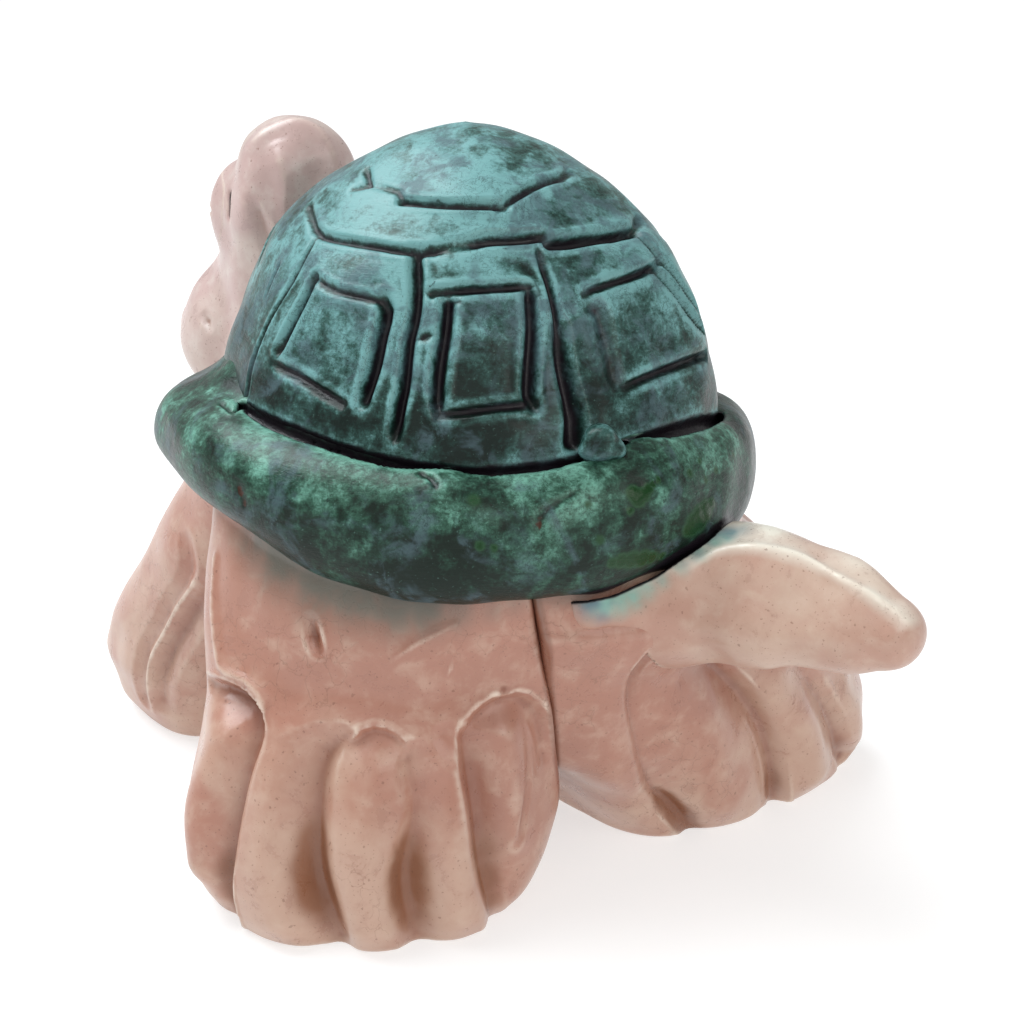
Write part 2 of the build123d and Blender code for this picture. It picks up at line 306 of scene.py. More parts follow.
def turned_table(pts, r_max, z_lo, z_hi, step=0.4):
    """Signed distance to a turned curve, tabled over radius and height: inside is negative."""
    c = smooth_curve(pts)
    R = np.arange(0, r_max + step, step)
    Z = np.arange(z_lo, z_hi + step, step)
    r, z = np.meshgrid(R, Z, indexing="ij")
    best = np.full(r.shape, 1e9)
    sign = np.ones(r.shape)
    for a, b in zip(c[:-1], c[1:]):
        d = b - a
        t = np.clip(((r - a[0]) * d[0] + (z - a[1]) * d[1]) / (d @ d), 0, 1)
        dr, dz = r - a[0] - t * d[0], z - a[1] - t * d[1]
        dist = np.hypot(dr, dz)
        side = dr * (-d[1]) + dz * d[0]
        new = dist < best
        best = np.where(new, dist, best)
        sign = np.where(new, np.where(side >= 0, 1.0, -1.0), sign)
    return (best * sign).astype(F32), step, z_lo, len(R), len(Z)


def turned(P, table):
    T, step, z_lo, nr, nz = table
    r = np.sqrt(P[0] ** 2 + P[1] ** 2) / step
    z = (P[2] - z_lo) / step
    rc, zc = np.clip(r, 0, nr - 1.001), np.clip(z, 0, nz - 1.001)
    i, j = rc.astype(np.int32), zc.astype(np.int32)
    u, v = rc - i, zc - j
    d = (T[i, j] * (1 - u) + T[i + 1, j] * u) * (1 - v) + (T[i, j + 1] * (1 - u) + T[i + 1, j + 1] * u) * v
    return d + step * (np.abs(r - rc) + np.abs(z - zc))


DOME_T = turned_table(DOME, 56.0, 44.0, 122.0)
# the belly's curve runs the other way round the clay, so its sign is the same as the dome's
BELLY_T = turned_table(BELLY, 56.0, 15.0, 64.0)
_prof = smooth_curve(DOME, 400)


def dome_radius(z):
    return float(np.interp(z, _prof[::-1, 1], _prof[::-1, 0]))


def on_dome(theta, z, lift=0.0):
    """A point of the dome's skin: theta in degrees from the pictured side, to the right of it."""
    a = math.radians(FACE + theta)
    r = dome_radius(z) + lift
    return (r * math.cos(a), r * math.sin(a), z)


def dome_base(P):
    return turned(P, DOME_T)


# ------------------------------------------------------------------ pressing lines into a solid
AZ, PITCH = math.radians(145.0), math.radians(20.0)
AWAY = np.array([-math.sin(AZ), math.cos(AZ), 0.0])
RIGHT = np.array([math.cos(AZ), math.sin(AZ), 0.0])
UP = np.array([0.0, 0.0, 1.0])
STAND = -271.7 * AWAY + 6.9 * RIGHT + 149.0 * UP
FOCUS = 1800.0
AHEAD = math.cos(PITCH) * AWAY - math.sin(PITCH) * UP
BELOW = -math.sin(PITCH) * AWAY - math.cos(PITCH) * UP


def cast(f, px):
    """Where points of the picture (x, y in its 1024 frame) fall on the solid f."""
    px = np.asarray(px, float)
    ray = AHEAD + (px[:, :1] - 512) / FOCUS * RIGHT + (px[:, 1:2] - 512) / FOCUS * BELOW
    t = np.full(len(px), 190.0)
    best, best_t = np.full(len(px), 1e9), t.copy()
    for _ in range(260):
        P = STAND + t[:, None] * ray
        d = f(tuple(P[:, i].astype(F32) for i in range(3))).astype(float)
        new = d < best
        best, best_t = np.where(new, d, best), np.where(new, t, best_t)
        t = t + np.where(best > 0.02, np.clip(0.55 * d, 0.04, 6.0), 0.0)
        t = np.minimum(t, 420.0)
    return STAND + best_t[:, None] * ray


def outward(f, X):
    g = grad(f, X.astype(F32), 0.4).astype(float)
    return g / np.maximum(np.linalg.norm(g, axis=1), 1e-6)[:, None]


def seen(f, lines):
    """Lines given in the picture's frame, laid on the solid f. A line is (points, half width to its
    left going down, half width to its right, depth, burr, sharpness); a point is (x, y, share of
    the depth)."""
    out = []
    for pts, wl, wr, depth, burr, sharp in lines:
        q = np.array([(*p, 1.0)[:3] for p in pts], float)
        length = np.hypot(*np.diff(q[:, :2], axis=0).T).sum()
        fine = smooth_curve(q, max(3, int(length / 9)))
        X = cast(f, fine[:, :2])
        jump = np.nonzero(np.linalg.norm(np.diff(X, axis=0), axis=1) > 7.0)[0]
        keep = max(np.split(np.arange(len(X)), jump + 1), key=len)
        out.append((X[keep], fine[keep, 2], outward(f, X[keep]), wl, wr, depth, burr, sharp))
    return out


def drawn(lines):
    """The same for lines given in millimetres: points are (x, y, z, share), seen from outside."""
    out = []
    for pts, wl, wr, depth, burr, sharp in lines:
        q = np.array([(*p, 1.0)[:4] for p in pts], float)
        c = q[:, :3].copy()
        c[:, 2] = 0.0
        c[:, :2] -= q[:, :2].mean(0) * 0.6
        c /= np.linalg.norm(c, axis=1)[:, None]
        out.append((q[:, :3], q[:, 3], c, wl, wr, depth, burr, sharp))
    return out


def ahead_of(f, lines):
    """The same for lines on the side that looks towards -y: points are (x, z, share)."""
    out = []
    for pts, wl, wr, depth, burr, sharp in lines:
        q = smooth_curve([(*p, 1.0)[:3] for p in pts], 5 * len(pts))
        X = np.stack([q[:, 0], np.full(len(q), -96.0), q[:, 1]], 1)
        for _ in range(120):
            d = f(tuple(X[:, i].astype(F32) for i in range(3))).astype(float)
            X[:, 1] += np.clip(0.6 * d, 0.0, 4.0)
        out.append((X, q[:, 2], outward(f, X), wl, wr, depth, burr, sharp))
    return out


def onto(f, lines):
    """The same for lines in millimetres that run near the solid f: points are (x, y, z, share)."""
    out = []
    for pts, wl, wr, depth, burr, sharp in lines:
        q = smooth_curve([(*p, 1.0)[:4] for p in pts], 5 * len(pts))
        X = q[:, :3].copy()
        for _ in range(14):
            d = f(tuple(X[:, i].astype(F32) for i in range(3))).astype(float)
            X -= 0.7 * d[:, None] * outward(f, X)
        out.append((X, q[:, 3], outward(f, X), wl, wr, depth, burr, sharp))
    return out


def pressed(P, lines):
    """How far the lines push the clay in at P, with burrs negative, and how deep in a line it is."""
    push = np.zeros_like(P[0])
    rise = np.zeros_like(P[0])
    mark = np.zeros_like(P[0])
    for X, share, face, wl, wr, depth, burr, sharp in lines:
        pad = 3.0 * max(wl, wr) + abs(depth) + 0.5
        lo, hi = X.min(0) - pad, X.max(0) + pad
        idx = np.nonzero(
            (P[0] > lo[0]) & (P[0] < hi[0]) & (P[1] > lo[1]) & (P[1] < hi[1]) & (P[2] > lo[2]) & (P[2] < hi[2])
        )[0]
        if idx.size == 0:
            continue
        q = [P[i][idx] for i in range(3)]
        best = np.full(idx.size, 1e9, F32)
        side = np.zeros(idx.size, F32)
        amp = np.zeros(idx.size, F32)
        for i in range(len(X) - 1):
            d = X[i + 1] - X[i]
            n = float(d @ d)
            if n < 1e-8:
                continue
            sv = np.cross(face[i], d)
            sv /= max(np.linalg.norm(sv), 1e-9)
            r = [q[j] - F32(X[i][j]) for j in range(3)]
            t = np.clip((r[0] * d[0] + r[1] * d[1] + r[2] * d[2]) / n, 0.0, 1.0).astype(F32)
            v = [r[j] - t * F32(d[j]) for j in range(3)]
            into = v[0] * F32(face[i][0]) + v[1] * F32(face[i][1]) + v[2] * F32(face[i][2])
            e = v[0] ** 2 + v[1] ** 2 + v[2] ** 2 - F32(0.9) * into**2
            new = e < best
            best = np.where(new, e, best)
            side = np.where(new, v[0] * F32(sv[0]) + v[1] * F32(sv[1]) + v[2] * F32(sv[2]), side)
            amp = np.where(new, share[i] + (share[i + 1] - share[i]) * t, amp)
        dist = np.sqrt(np.maximum(best, 0.0))
        mix = np.clip(0.5 + side / np.maximum(dist, 1e-4) * 0.5, 0, 1)
        x = dist / (wl + (wr - wl) * mix)
        inside = amp * np.exp(-np.minimum(x, 5.0) ** sharp)
        if depth < 0:
            rise[idx] = np.minimum(rise[idx], depth * inside)
        else:
            push[idx] = np.maximum(push[idx], depth * inside)
            mark[idx] = np.maximum(mark[idx], inside * min(1.0, depth / (1.2 * max(wl, wr))))
            if burr:
                far = dist / min(wl, wr)
                rise[idx] = np.minimum(rise[idx], -0.75 * burr * amp * np.exp(-(((far - 1.9) / 0.6) ** 2)))
    return push + rise * (1 - np.clip(mark, 0, 1)), mark


# ------------------------------------------------------------------ the lines carved in the shell
SHELL_LINES = seen(dome_base, [
    # top scute: hooked corner, left edge, front edge, right edge
    ([(367, 171, 0.6), (372, 179, 1), (370, 184, 0.9), (361, 187, 0.8), (353, 189, 0.4)], 0.55, 0.55, 0.9, 0.2, 2.4),
    ([(372, 184, 0.5), (389, 188, 0.7), (403, 193, 0.9), (404, 201, 1)], 0.7, 0.5, 0.7, 0.15, 2.2),
    ([(402, 201, 0.9), (427, 203, 1), (461, 205, 1), (496, 205, 1), (504, 206, 0.7)], 0.75, 0.65, 1.3, 0.3, 2.6),
    ([(498, 210, 0.6), (513, 198, 1), (530, 188, 1), (547, 181, 0.9), (564, 178, 0.7), (569, 172, 0.4)], 0.65, 0.6, 1, 0.25, 2.4),
    # ring line, in four strokes
    ([(310, 208, 0.4), (314, 229, 0.8), (323, 236, 0.9), (347, 241, 0.9), (368, 245, 1), (389, 249, 1), (411, 252, 1)], 0.6, 0.6, 1.1, 0.25, 2.4),
    ([(409, 251, 0.9), (417, 253, 1.1), (434, 252, 0.9), (446, 249, 0.4)], 0.65, 0.8, 1.2, 0.2, 2.4),
    ([(446, 249, 0.2), (461, 245, 0.5), (476, 242, 0.9), (485, 239, 1.1), (506, 237, 1.1), (537, 235, 1.1), (545, 235, 0.8)], 0.85, 0.85, 1.5, 0.3, 2.8),
    ([(550, 242, 0.9), (564, 241, 1.2), (592, 237, 1.2), (616, 235, 1.1), (631, 234, 0.8)], 0.95, 0.9, 1.6, 0.3, 2.8),
    ([(628, 235, 0.5), (635, 224, 0.9), (637, 213, 0.6)], 0.8, 0.8, 0.6, 0.1, 2),
    # upright lines between the side scutes
    ([(315, 237, 0.6), (303, 258, 1), (285, 293, 1), (265, 330, 1), (251, 365, 1), (246, 389, 1), (243, 400, 0.8)], 0.42, 0.42, 0.75, 0.12, 2.2),
    ([(277, 264, 0.5), (272, 275, 1), (265, 293, 0.5)], 0.42, 0.42, 0.6, 0.1, 2.2),
    ([(416, 256, 1), (417, 289, 1), (415, 317, 1), (409, 344, 1.05), (405, 382, 1.15), (400, 406, 1.2), (396, 430, 1), (395, 436, 0.6)], 0.78, 0.78, 1.7, 0.3, 2.8),
    ([(539, 245, 0.4), (542, 262, 0.6), (549, 282, 0.8), (556, 313, 1), (560, 341, 1.1)], 0.55, 0.5, 1.3, 0.2, 2.4),
    ([(558, 327, 0.5), (563, 358, 0.9), (568, 382, 1), (573, 403, 1.1), (576, 423, 1.1), (575, 441, 1)], 1.1, 1.1, 2.2, 0.2, 2.8),
    ([(572, 396, 0.6), (576, 417, 1), (575, 441, 1)], 1.5, 1.4, 2.4, 0.1, 2.8),
    ([(530, 272, 0.3), (539, 289, 0.8), (543, 317, 0.4)], 0.5, 0.5, 0.45, 0.1, 2),
    ([(632, 237, 0.7), (647, 258, 1), (664, 282, 1), (678, 301, 1), (691, 321, 0.7)], 0.5, 0.5, 1, 0.2, 2.4),
    # square of the left scute
    ([(314, 276, 0.7), (308, 293, 1), (296, 320, 1), (285, 341, 1), (278, 351, 0.6)], 0.68, 0.68, 1.5, 0.3, 2.8),
    ([(314, 276, 0.6), (321, 283, 0.8), (341, 293, 0.8), (365, 298, 0.9), (383, 303, 0.8)], 0.5, 0.6, 0.8, 0.35, 2.2),
    ([(383, 301, 0.6), (386, 313, 1), (380, 337, 1), (374, 365, 1.05), (366, 389, 1.15), (363, 400, 0.8)], 0.95, 0.95, 1.9, 0.35, 3),
    ([(274, 361, 0.3), (279, 367, 0.8), (296, 375, 0.9), (320, 391, 0.9), (341, 403, 0.6)], 0.8, 0.6, 1.1, 0.35, 2.2),
    # square of the middle scute
    ([(431, 294, 0.6), (454, 291, 1), (485, 288, 1), (509, 287, 0.9), (530, 286, 0.8)], 0.68, 0.62, 1.3, 0.35, 2.8),
    ([(440, 301, 0.5), (448, 304, 0.9), (458, 301, 0.5)], 0.5, 0.5, 1, 0.1, 2.4),
    ([(448, 304, 1), (446, 330, 1), (441, 361, 1), (438, 386, 1), (438, 405, 0.8)], 0.86, 0.86, 1.8, 0.35, 3),
    ([(531, 296, 1), (532, 330, 1), (530, 365, 1), (529, 396, 1), (533, 405, 0.6)], 0.9, 0.9, 1.9, 0.35, 3),
    ([(437, 415, 0.6), (461, 413, 0.9), (496, 408, 1), (527, 405, 0.9), (535, 403, 0.5)], 0.62, 0.62, 1.2, 0.35, 2.6),
    ([(492, 261, 0.3), (513, 260, 0.8), (530, 269, 1), (539, 284, 0.5)], 0.9, 0.9, 0.45, 0.15, 2),
    ([(427, 262, 0.3), (440, 252, 0.7), (461, 248, 0.7), (502, 246, 0.6), (523, 255, 0.3)], 1.2, 1.2, 0.35, 0.1, 2),
    ([(414, 340, 0.6), (423, 338, 1), (434, 335, 0.4)], 0.45, 0.45, 0.7, 0.2, 2.4),
    # the right scute stands proud of the ring line
    ([(640, 226, 0.5), (652, 250, 1), (670, 286, 1), (686, 322, 1), (700, 366, 0.5)], 7.5, 7.5, -1.9, 0, 2),
    ([(642, 222, 0.6), (656, 246, 1), (672, 278, 0.8), (684, 306, 0.4)], 2.0, 2.0, -0.7, 0, 2),
    # square of the right scute
    ([(584, 295, 0.5), (595, 289, 0.9), (626, 279, 1), (646, 271, 1.1), (650, 269, 0.8)], 0.6, 0.6, 1.2, 0.3, 2.6),
    ([(648, 273, 0.9), (668, 299, 1), (685, 324, 0.9), (693, 332, 0.5)], 0.55, 0.55, 1.2, 0.3, 2.4),
    ([(593, 308, 0.9), (599, 313, 1), (604, 330, 0.9), (610, 351, 0.8), (616, 375, 0.8), (622, 388, 0.5)], 1.3, 1.3, 1, 0.15, 2),
    ([(591, 309, 0.5), (597, 310, 1), (603, 308, 0.5)], 0.6, 0.6, 0.9, 0.1, 2.4),
    ([(628, 387, 0.5), (644, 379, 0.9), (654, 375, 1), (678, 365, 1), (699, 357, 0.7)], 0.62, 0.62, 1.3, 0.35, 2.6),
])
# the far side of the shell is carved in the same way, half a turn round
HALF = np.array([-1.0, -1.0, 1.0])
SHELL_LINES += [(X * HALF, m, face * HALF, *rest) for X, m, face, *rest in SHELL_LINES]


# ------------------------------------------------------------------ the rim coil
# theta from the pictured side: lowest height, height of the crevice, outer radius, crevice's radius,
# and how far the dome's skin is smeared out on to it
RIM = [
    (-180, 57.0, 69.6, 46.0, 0.6, 0.0), (-150, 58.0, 70.0, 46.0, 0.5, 0.0), (-120, 58.8, 70.6, 46.4, 0.1, 1.6), (-95, 60.2, 72.0, 47.8, 0.0, 3.2),
    (-76, 61.2, 73.4, 48.4, 0.0, 3.4), (-66, 60.8, 74.0, 48.0, 0.2, 2.2), (-57, 60.0, 73.9, 48.0, 0.8, 0.5), (-50, 59.0, 73.6, 47.8, 1.05, 0.0),
    (-40, 57.3, 73.0, 47.4, 1.15, 0.0), (-20, 53.8, 71.0, 47.0, 1.2, 0.0), (0, 51.8, 69.7, 47.0, 1.0, 0.0), (20, 52.0, 70.0, 46.6, 1.0, 0.0),
    (40, 52.6, 71.4, 46.0, 1.25, 0.0), (60, 53.2, 71.0, 45.4, 1.25, 0.0), (76, 53.0, 68.6, 45.0, 0.9, 0.2), (88, 53.0, 67.6, 45.0, 0.45, 1.2),
    (102, 53.0, 67.0, 44.8, 0.2, 1.6), (130, 54.2, 68.0, 45.4, 0.5, 0.2), (155, 55.8, 69.0, 45.8, 0.6, 0.0),
]
_rt = np.array([r[0] for r in RIM] + [180.0])
_rk = np.array([r[1:] for r in RIM] + [RIM[0][1:]])


def _round_table():
    """The rim's measures at every degree, smoothed round the ring."""
    g = np.arange(-180, 180)
    out = np.stack([np.interp(g, _rt, _rk[:, i]) for i in range(5)], 1)
    ker = np.hanning(19)
    ker /= ker.sum()
    pad = np.concatenate([out[-9:], out, out[:9]])
    out = np.stack([np.convolve(pad[:, i], ker, "valid") for i in range(5)], 1)
    # and the dome's own radius at the crevice
    out = np.column_stack([out, [dome_radius(z) for z in out[:, 1]]])
    return np.vstack([out, out[:1]]).astype(F32)


RIM_T = _round_table()


def rim_at(P):
    th = np.degrees(np.arctan2(P[1], P[0])) - FACE
    th = (th + 180.0) % 360.0
    i = np.clip(th.astype(np.int32), 0, 359)
    u = (th - i)[:, None]
    v = RIM_T[i] * (1 - u) + RIM_T[i + 1] * u
    return v.T


def rim_shape(P):
    """The coil without its contact faces: a rounded roll, fuller low down."""
    lowz, crev, rout, _, _, rd = rim_at(P)
    r = np.sqrt(P[0] ** 2 + P[1] ** 2)
    top = crev + 0.5
    zc, b = (top + lowz) / 2, (top - lowz) / 2
    v = (P[2] - zc) / b
    # the roll leans on the dome: its crest lies against it, and it sags outwards below
    rc = 40.2 + (rd + 0.9 - 40.2) * np.clip(v, 0.0, 1.0)
    a = rout - rc
    u = (r - rc + 0.9 * v) / a
    k = np.sqrt(np.abs(u) ** 2.3 + np.abs(v) ** 2.3 + 1e-9) ** (2 / 2.3)
    k = np.where(k > 1e-4, k, 1e-4)
    d = (k - 1.0) * np.minimum(a, b) * 0.93
    d = d + 0.32 * waves(P, 11, 13.0) + 0.13 * waves(P, 12, 5.0)
    return d


def crevice(P):
    """How far outside the dark crevice, where the coil meets the dome, a place is."""
    _, crev, _, g, _, rd = rim_at(P)
    r = np.sqrt(P[0] ** 2 + P[1] ** 2)
    return np.sqrt((r - rd - 0.2) ** 2 + (P[2] - crev + 0.3) ** 2) - (1.3 * g - 0.35)


def smeared(P):
    """The sloping wedge of clay between the dome and the coil, where the two are smeared together."""
    lowz, crev, rout, _, k, rd = rim_at(P)
    r = np.sqrt(P[0] ** 2 + P[1] ** 2)
    d = 0.72 * (P[2] - crev - 4.4 * np.clip(k / 3.2, 0.0, 1.0) + 1.2 + 0.95 * (r - rd))
    d = np.maximum(d, np.maximum(rd - 4.0 - r, lowz + 5.0 - P[2]))
    return np.maximum(d, r - rout + 3.0)


def shell_rim(P):
    d = smin(rim_shape(P), smeared(P) + 0.15 * waves(P, 13, 5.0), 2.4)
    d = smax(d, -crevice(P), 0.8)
    return smax(d, -(turned(P, DOME_T) + 1.8), 0.3)


def dome_push(P):
    """How far the dome's skin lies under its turned shape, and how dark its grooves and crevice are painted: glaze
    pooled there, deepened by painted shade.
    """
    push, mark = pressed(P, SHELL_LINES)
    push = push + 0.3 * waves(P, 1, 12.0) + 0.09 * waves(P, 2, 4.0)
    c = crevice(P)
    g = rim_at(P)[3]
    push = push + np.clip(0.4 - c, 0.0, 0.9 * g)
    return push, np.maximum(mark, np.exp(-((np.clip(c, 0, 9) / 0.9) ** 2)) * np.clip(1.4 * g, 0.0, 1.0))


def disc(n):
    """Square grid of n by n cells laid on a round cap: share of the way out, angle, quads."""
    u, v = np.meshgrid(np.linspace(-1, 1, n + 1), np.linspace(-1, 1, n + 1), indexing="ij")
    rho = np.maximum(np.abs(u), np.abs(v))
    with np.errstate(divide="ignore", invalid="ignore"):
        a = np.where(np.abs(u) >= np.abs(v), np.pi / 4 * v / u, np.pi / 2 - np.pi / 4 * u / v)
    a = np.where(np.abs(u) >= np.abs(v), np.where(u < 0, a + np.pi, a), np.where(v < 0, a + np.pi, a))
    a = np.where(rho < 1e-9, 0.0, a)
    i = np.arange((n + 1) ** 2).reshape(n + 1, n + 1)
    Q = np.stack([i[:-1, :-1], i[1:, :-1], i[1:, 1:], i[:-1, 1:]], -1).reshape(-1, 4)
    edge = np.concatenate([i[:-1, 0], i[-1, :-1], i[:0:-1, -1], i[0, :0:-1]])
    return rho.ravel(), a.ravel(), Q, edge


def make_dome(mat):
    """The dome: a fine carved outside, a plain inside and the seat ring between them."""
    n = 296
    c = smooth_curve([q for q in DOME if q[1] >= 58.0], 600)
    s = np.concatenate([[0], np.cumsum(np.linalg.norm(np.diff(c, axis=0), axis=1))])
    tang = np.gradient(c, s, axis=0)
    out = np.stack([-tang[:, 1], tang[:, 0]], 1)
    hidden = np.interp(66.0, c[::-1, 1], s[::-1])
    rho, a, Q, edge = disc(n)
    want = np.interp(rho, [0.0, 0.92, 1.0], [0.0, hidden, s[-1]])
    r, z = np.interp(want, s, c[:, 0]), np.interp(want, s, c[:, 1])
    nr, nz = np.interp(want, s, out[:, 0]), np.interp(want, s, out[:, 1])
    base = np.stack([r * np.cos(a), r * np.sin(a), z], 1).astype(F32)
    normal = np.stack([nr * np.cos(a), nr * np.sin(a), nz], 1)
    push, mark = dome_push((base[:, 0], base[:, 1], base[:, 2]))
    push[want > s[-1] - 0.01] = 0.0
    pos = base - push[:, None] * normal
    ridge, _ = hollows(pos.astype(F32), Q, 6)
    broad, _ = hollows(pos.astype(F32), Q, 40)
    # the plain inside
    m = 37
    rho2, a2, Q2, edge2 = disc(m)
    want2 = rho2 * s[-1]
    r2 = np.maximum(np.interp(want2, s, c[:, 0] - 6.0 * out[:, 0]), 0.0) * np.where(rho2 < 1e-9, 0, 1)
    z2 = np.interp(want2, s, c[:, 1] - 6.0 * out[:, 1])
    z2 = np.where(rho2 > 1 - 1e-9, 58.0, z2)
    inner = np.stack([r2 * np.cos(a2), r2 * np.sin(a2), z2], 1)
    k0 = len(pos)
    k = n // m
    tris = []
    for j in range(len(edge2)):
        p, q = k0 + edge2[j], k0 + edge2[(j + 1) % len(edge2)]
        o = [edge[(j * k + t) % len(edge)] for t in range(k + 1)]
        h = k // 2
        tris += [(p, o[t + 1], o[t]) for t in range(h)]
        tris.append((p, q, o[h]))
        tris += [(q, o[t + 1], o[t]) for t in range(h, k)]
    zero = np.zeros(len(inner), F32)
    data = {
        "ridge": np.concatenate([ridge, zero]), "broad": np.concatenate([broad, zero]), "mark": np.concatenate([mark, zero]),
        "pool": np.zeros(k0 + len(inner), F32), "rust": np.zeros(k0 + len(inner), F32),
        "tone": np.concatenate([dome_light_and_tone((base[:, 0], base[:, 1], base[:, 2])), zero]),
    }
    return put_mesh("shell_dome_look", np.concatenate([pos, inner]), [Q, k0 + Q2[:, ::-1], np.array(tris)], data, "shell_dome", mat)


# ------------------------------------------------------------------ legs
def lofted(rows):
    """Cross-sections up a leg: (height, x, y, half width, half depth), smoothed every half millimetre."""
    q = np.array(rows, float)
    z = np.arange(-6.0, 72.0, 0.5)
    out = np.stack([np.interp(z, q[:, 0], q[:, i]) for i in range(1, 5)], 1)
    ker = np.hanning(13)
    ker /= ker.sum()
    pad = np.concatenate([np.repeat(out[:1], 6, 0), out, np.repeat(out[-1:], 6, 0)])
    return np.stack([np.convolve(pad[:, i], ker, "valid") for i in range(4)], 1).astype(F32)


def loft(P, table, yaw=0.0, n=2.5):
    u = np.clip((P[2] + 6.0) / 0.5, 0, len(table) - 1.001)
    i = u.astype(np.int32)
    u = (u - i)[:, None].astype(F32)
    T = table[i] * (1 - u) + table[i + 1] * u
    x, y = P[0] - T[:, 0], P[1] - T[:, 1]
    if yaw:
        a = math.radians(yaw)
        x, y = math.cos(a) * x + math.sin(a) * y, -math.sin(a) * x + math.cos(a) * y
    x, y = np.abs(x) + 1e-4, np.abs(y) + 1e-4
    a, b = T[:, 2], T[:, 3]
    k = ((x / a) ** n + (y / b) ** n) ** (1.0 / n)
    g = np.sqrt((x ** (n - 1) / a**n) ** 2 + (y ** (n - 1) / b**n) ** 2) / np.maximum(k, 1e-4) ** (n - 1)
    return np.maximum((k - 1.0) / np.maximum(g, 1e-4), -12.0)


def facing(rows):
    """Rows given across and along the pictured side, turned into x and y."""
    return [(z, *(l * RIGHT + d * AWAY)[:2], a, b) for z, l, d, a, b in rows]


def body_cut(P, d, gap=0.0):
    """Cuts a luted piece back to a little inside the belly bowl and the rim, or to a gap from them."""
    b = np.minimum(turned(P, BELLY_T), np.maximum(turned(P, DOME_T), 57.0 - P[2]))
    d = smax(d, -(b + (-gap if gap else 0.8)), 0.3)
    return smax(d, -(rim_shape(P) + (0.15 - gap if gap else 0.8)), 0.3)


SEAM = math.radians(73.0)  # where the two rear legs meet, beside the tail


def seam_side(P):
    """How far past the rear legs' leaning seam a place is, towards the right leg."""
    return P[1] * math.cos(SEAM) - P[0] * math.sin(SEAM) - 0.2 * (42.0 - P[2]) + 0.9


COLUMN = ([6.0, 18.0, 28.0, 38.0, 46.0, 54.0], [22.0, 31.0, 35.8, 39.0, 41.6, 43.2])


def haunch(P, a, side):
    """The fat upper leg under the shell, from a plane through the axis at a degrees to the seam."""
    r = np.sqrt(P[0] ** 2 + P[1] ** 2)
    d = r - np.interp(P[2], *COLUMN).astype(F32)
    a = math.radians(a)
    d = smax(d, side * (P[0] * math.sin(a) - P[1] * math.cos(a)), 9.0)
    d = smax(d, side * seam_side(P), 2.0)
    return smax(d, 16.0 - P[2], 8.0)


def under_rim(P, d, reach, k):
    """Keeps a leg's top inside and under the rim: reach is its outermost radius by depth under the rim."""
    lowz = rim_at(P)[0]
    r = np.sqrt(P[0] ** 2 + P[1] ** 2)
    d = smax(d, 0.62 * (r - np.interp(P[2] - lowz, *reach).astype(F32)), k)
    return smax(d, P[2] - lowz - 6.0, 0.5)


RL_T = lofted(facing([
    (0, -15.4, -26.8, 23.6, 22.0), (3, -15.2, -26.8, 25.8, 23.2), (8, -14.8, -26.6, 27.6, 23.4), (14, -14.2, -26.2, 28.4, 23.0),
    (22, -13.6, -25.8, 27.4, 21.8), (32, -13.2, -25.2, 26.2, 20.6), (42, -13.0, -24.8, 25.6, 19.4), (50, -12.8, -24.2, 25.4, 18.8),
    (62, -12.8, -24.0, 25.2, 18.4),
]))


def rl_base(P):
    d = smin(loft(P, RL_T, -35.0, 2.25), haunch(P, -8.0, 1.0), 5.0)
    return under_rim(P, d, ([-44.0, -34.0, -24.0, -12.0, -4.0, 0.0], [76.0, 62.0, 53.5, 48.2, 45.2, 44.0]), 4.0)


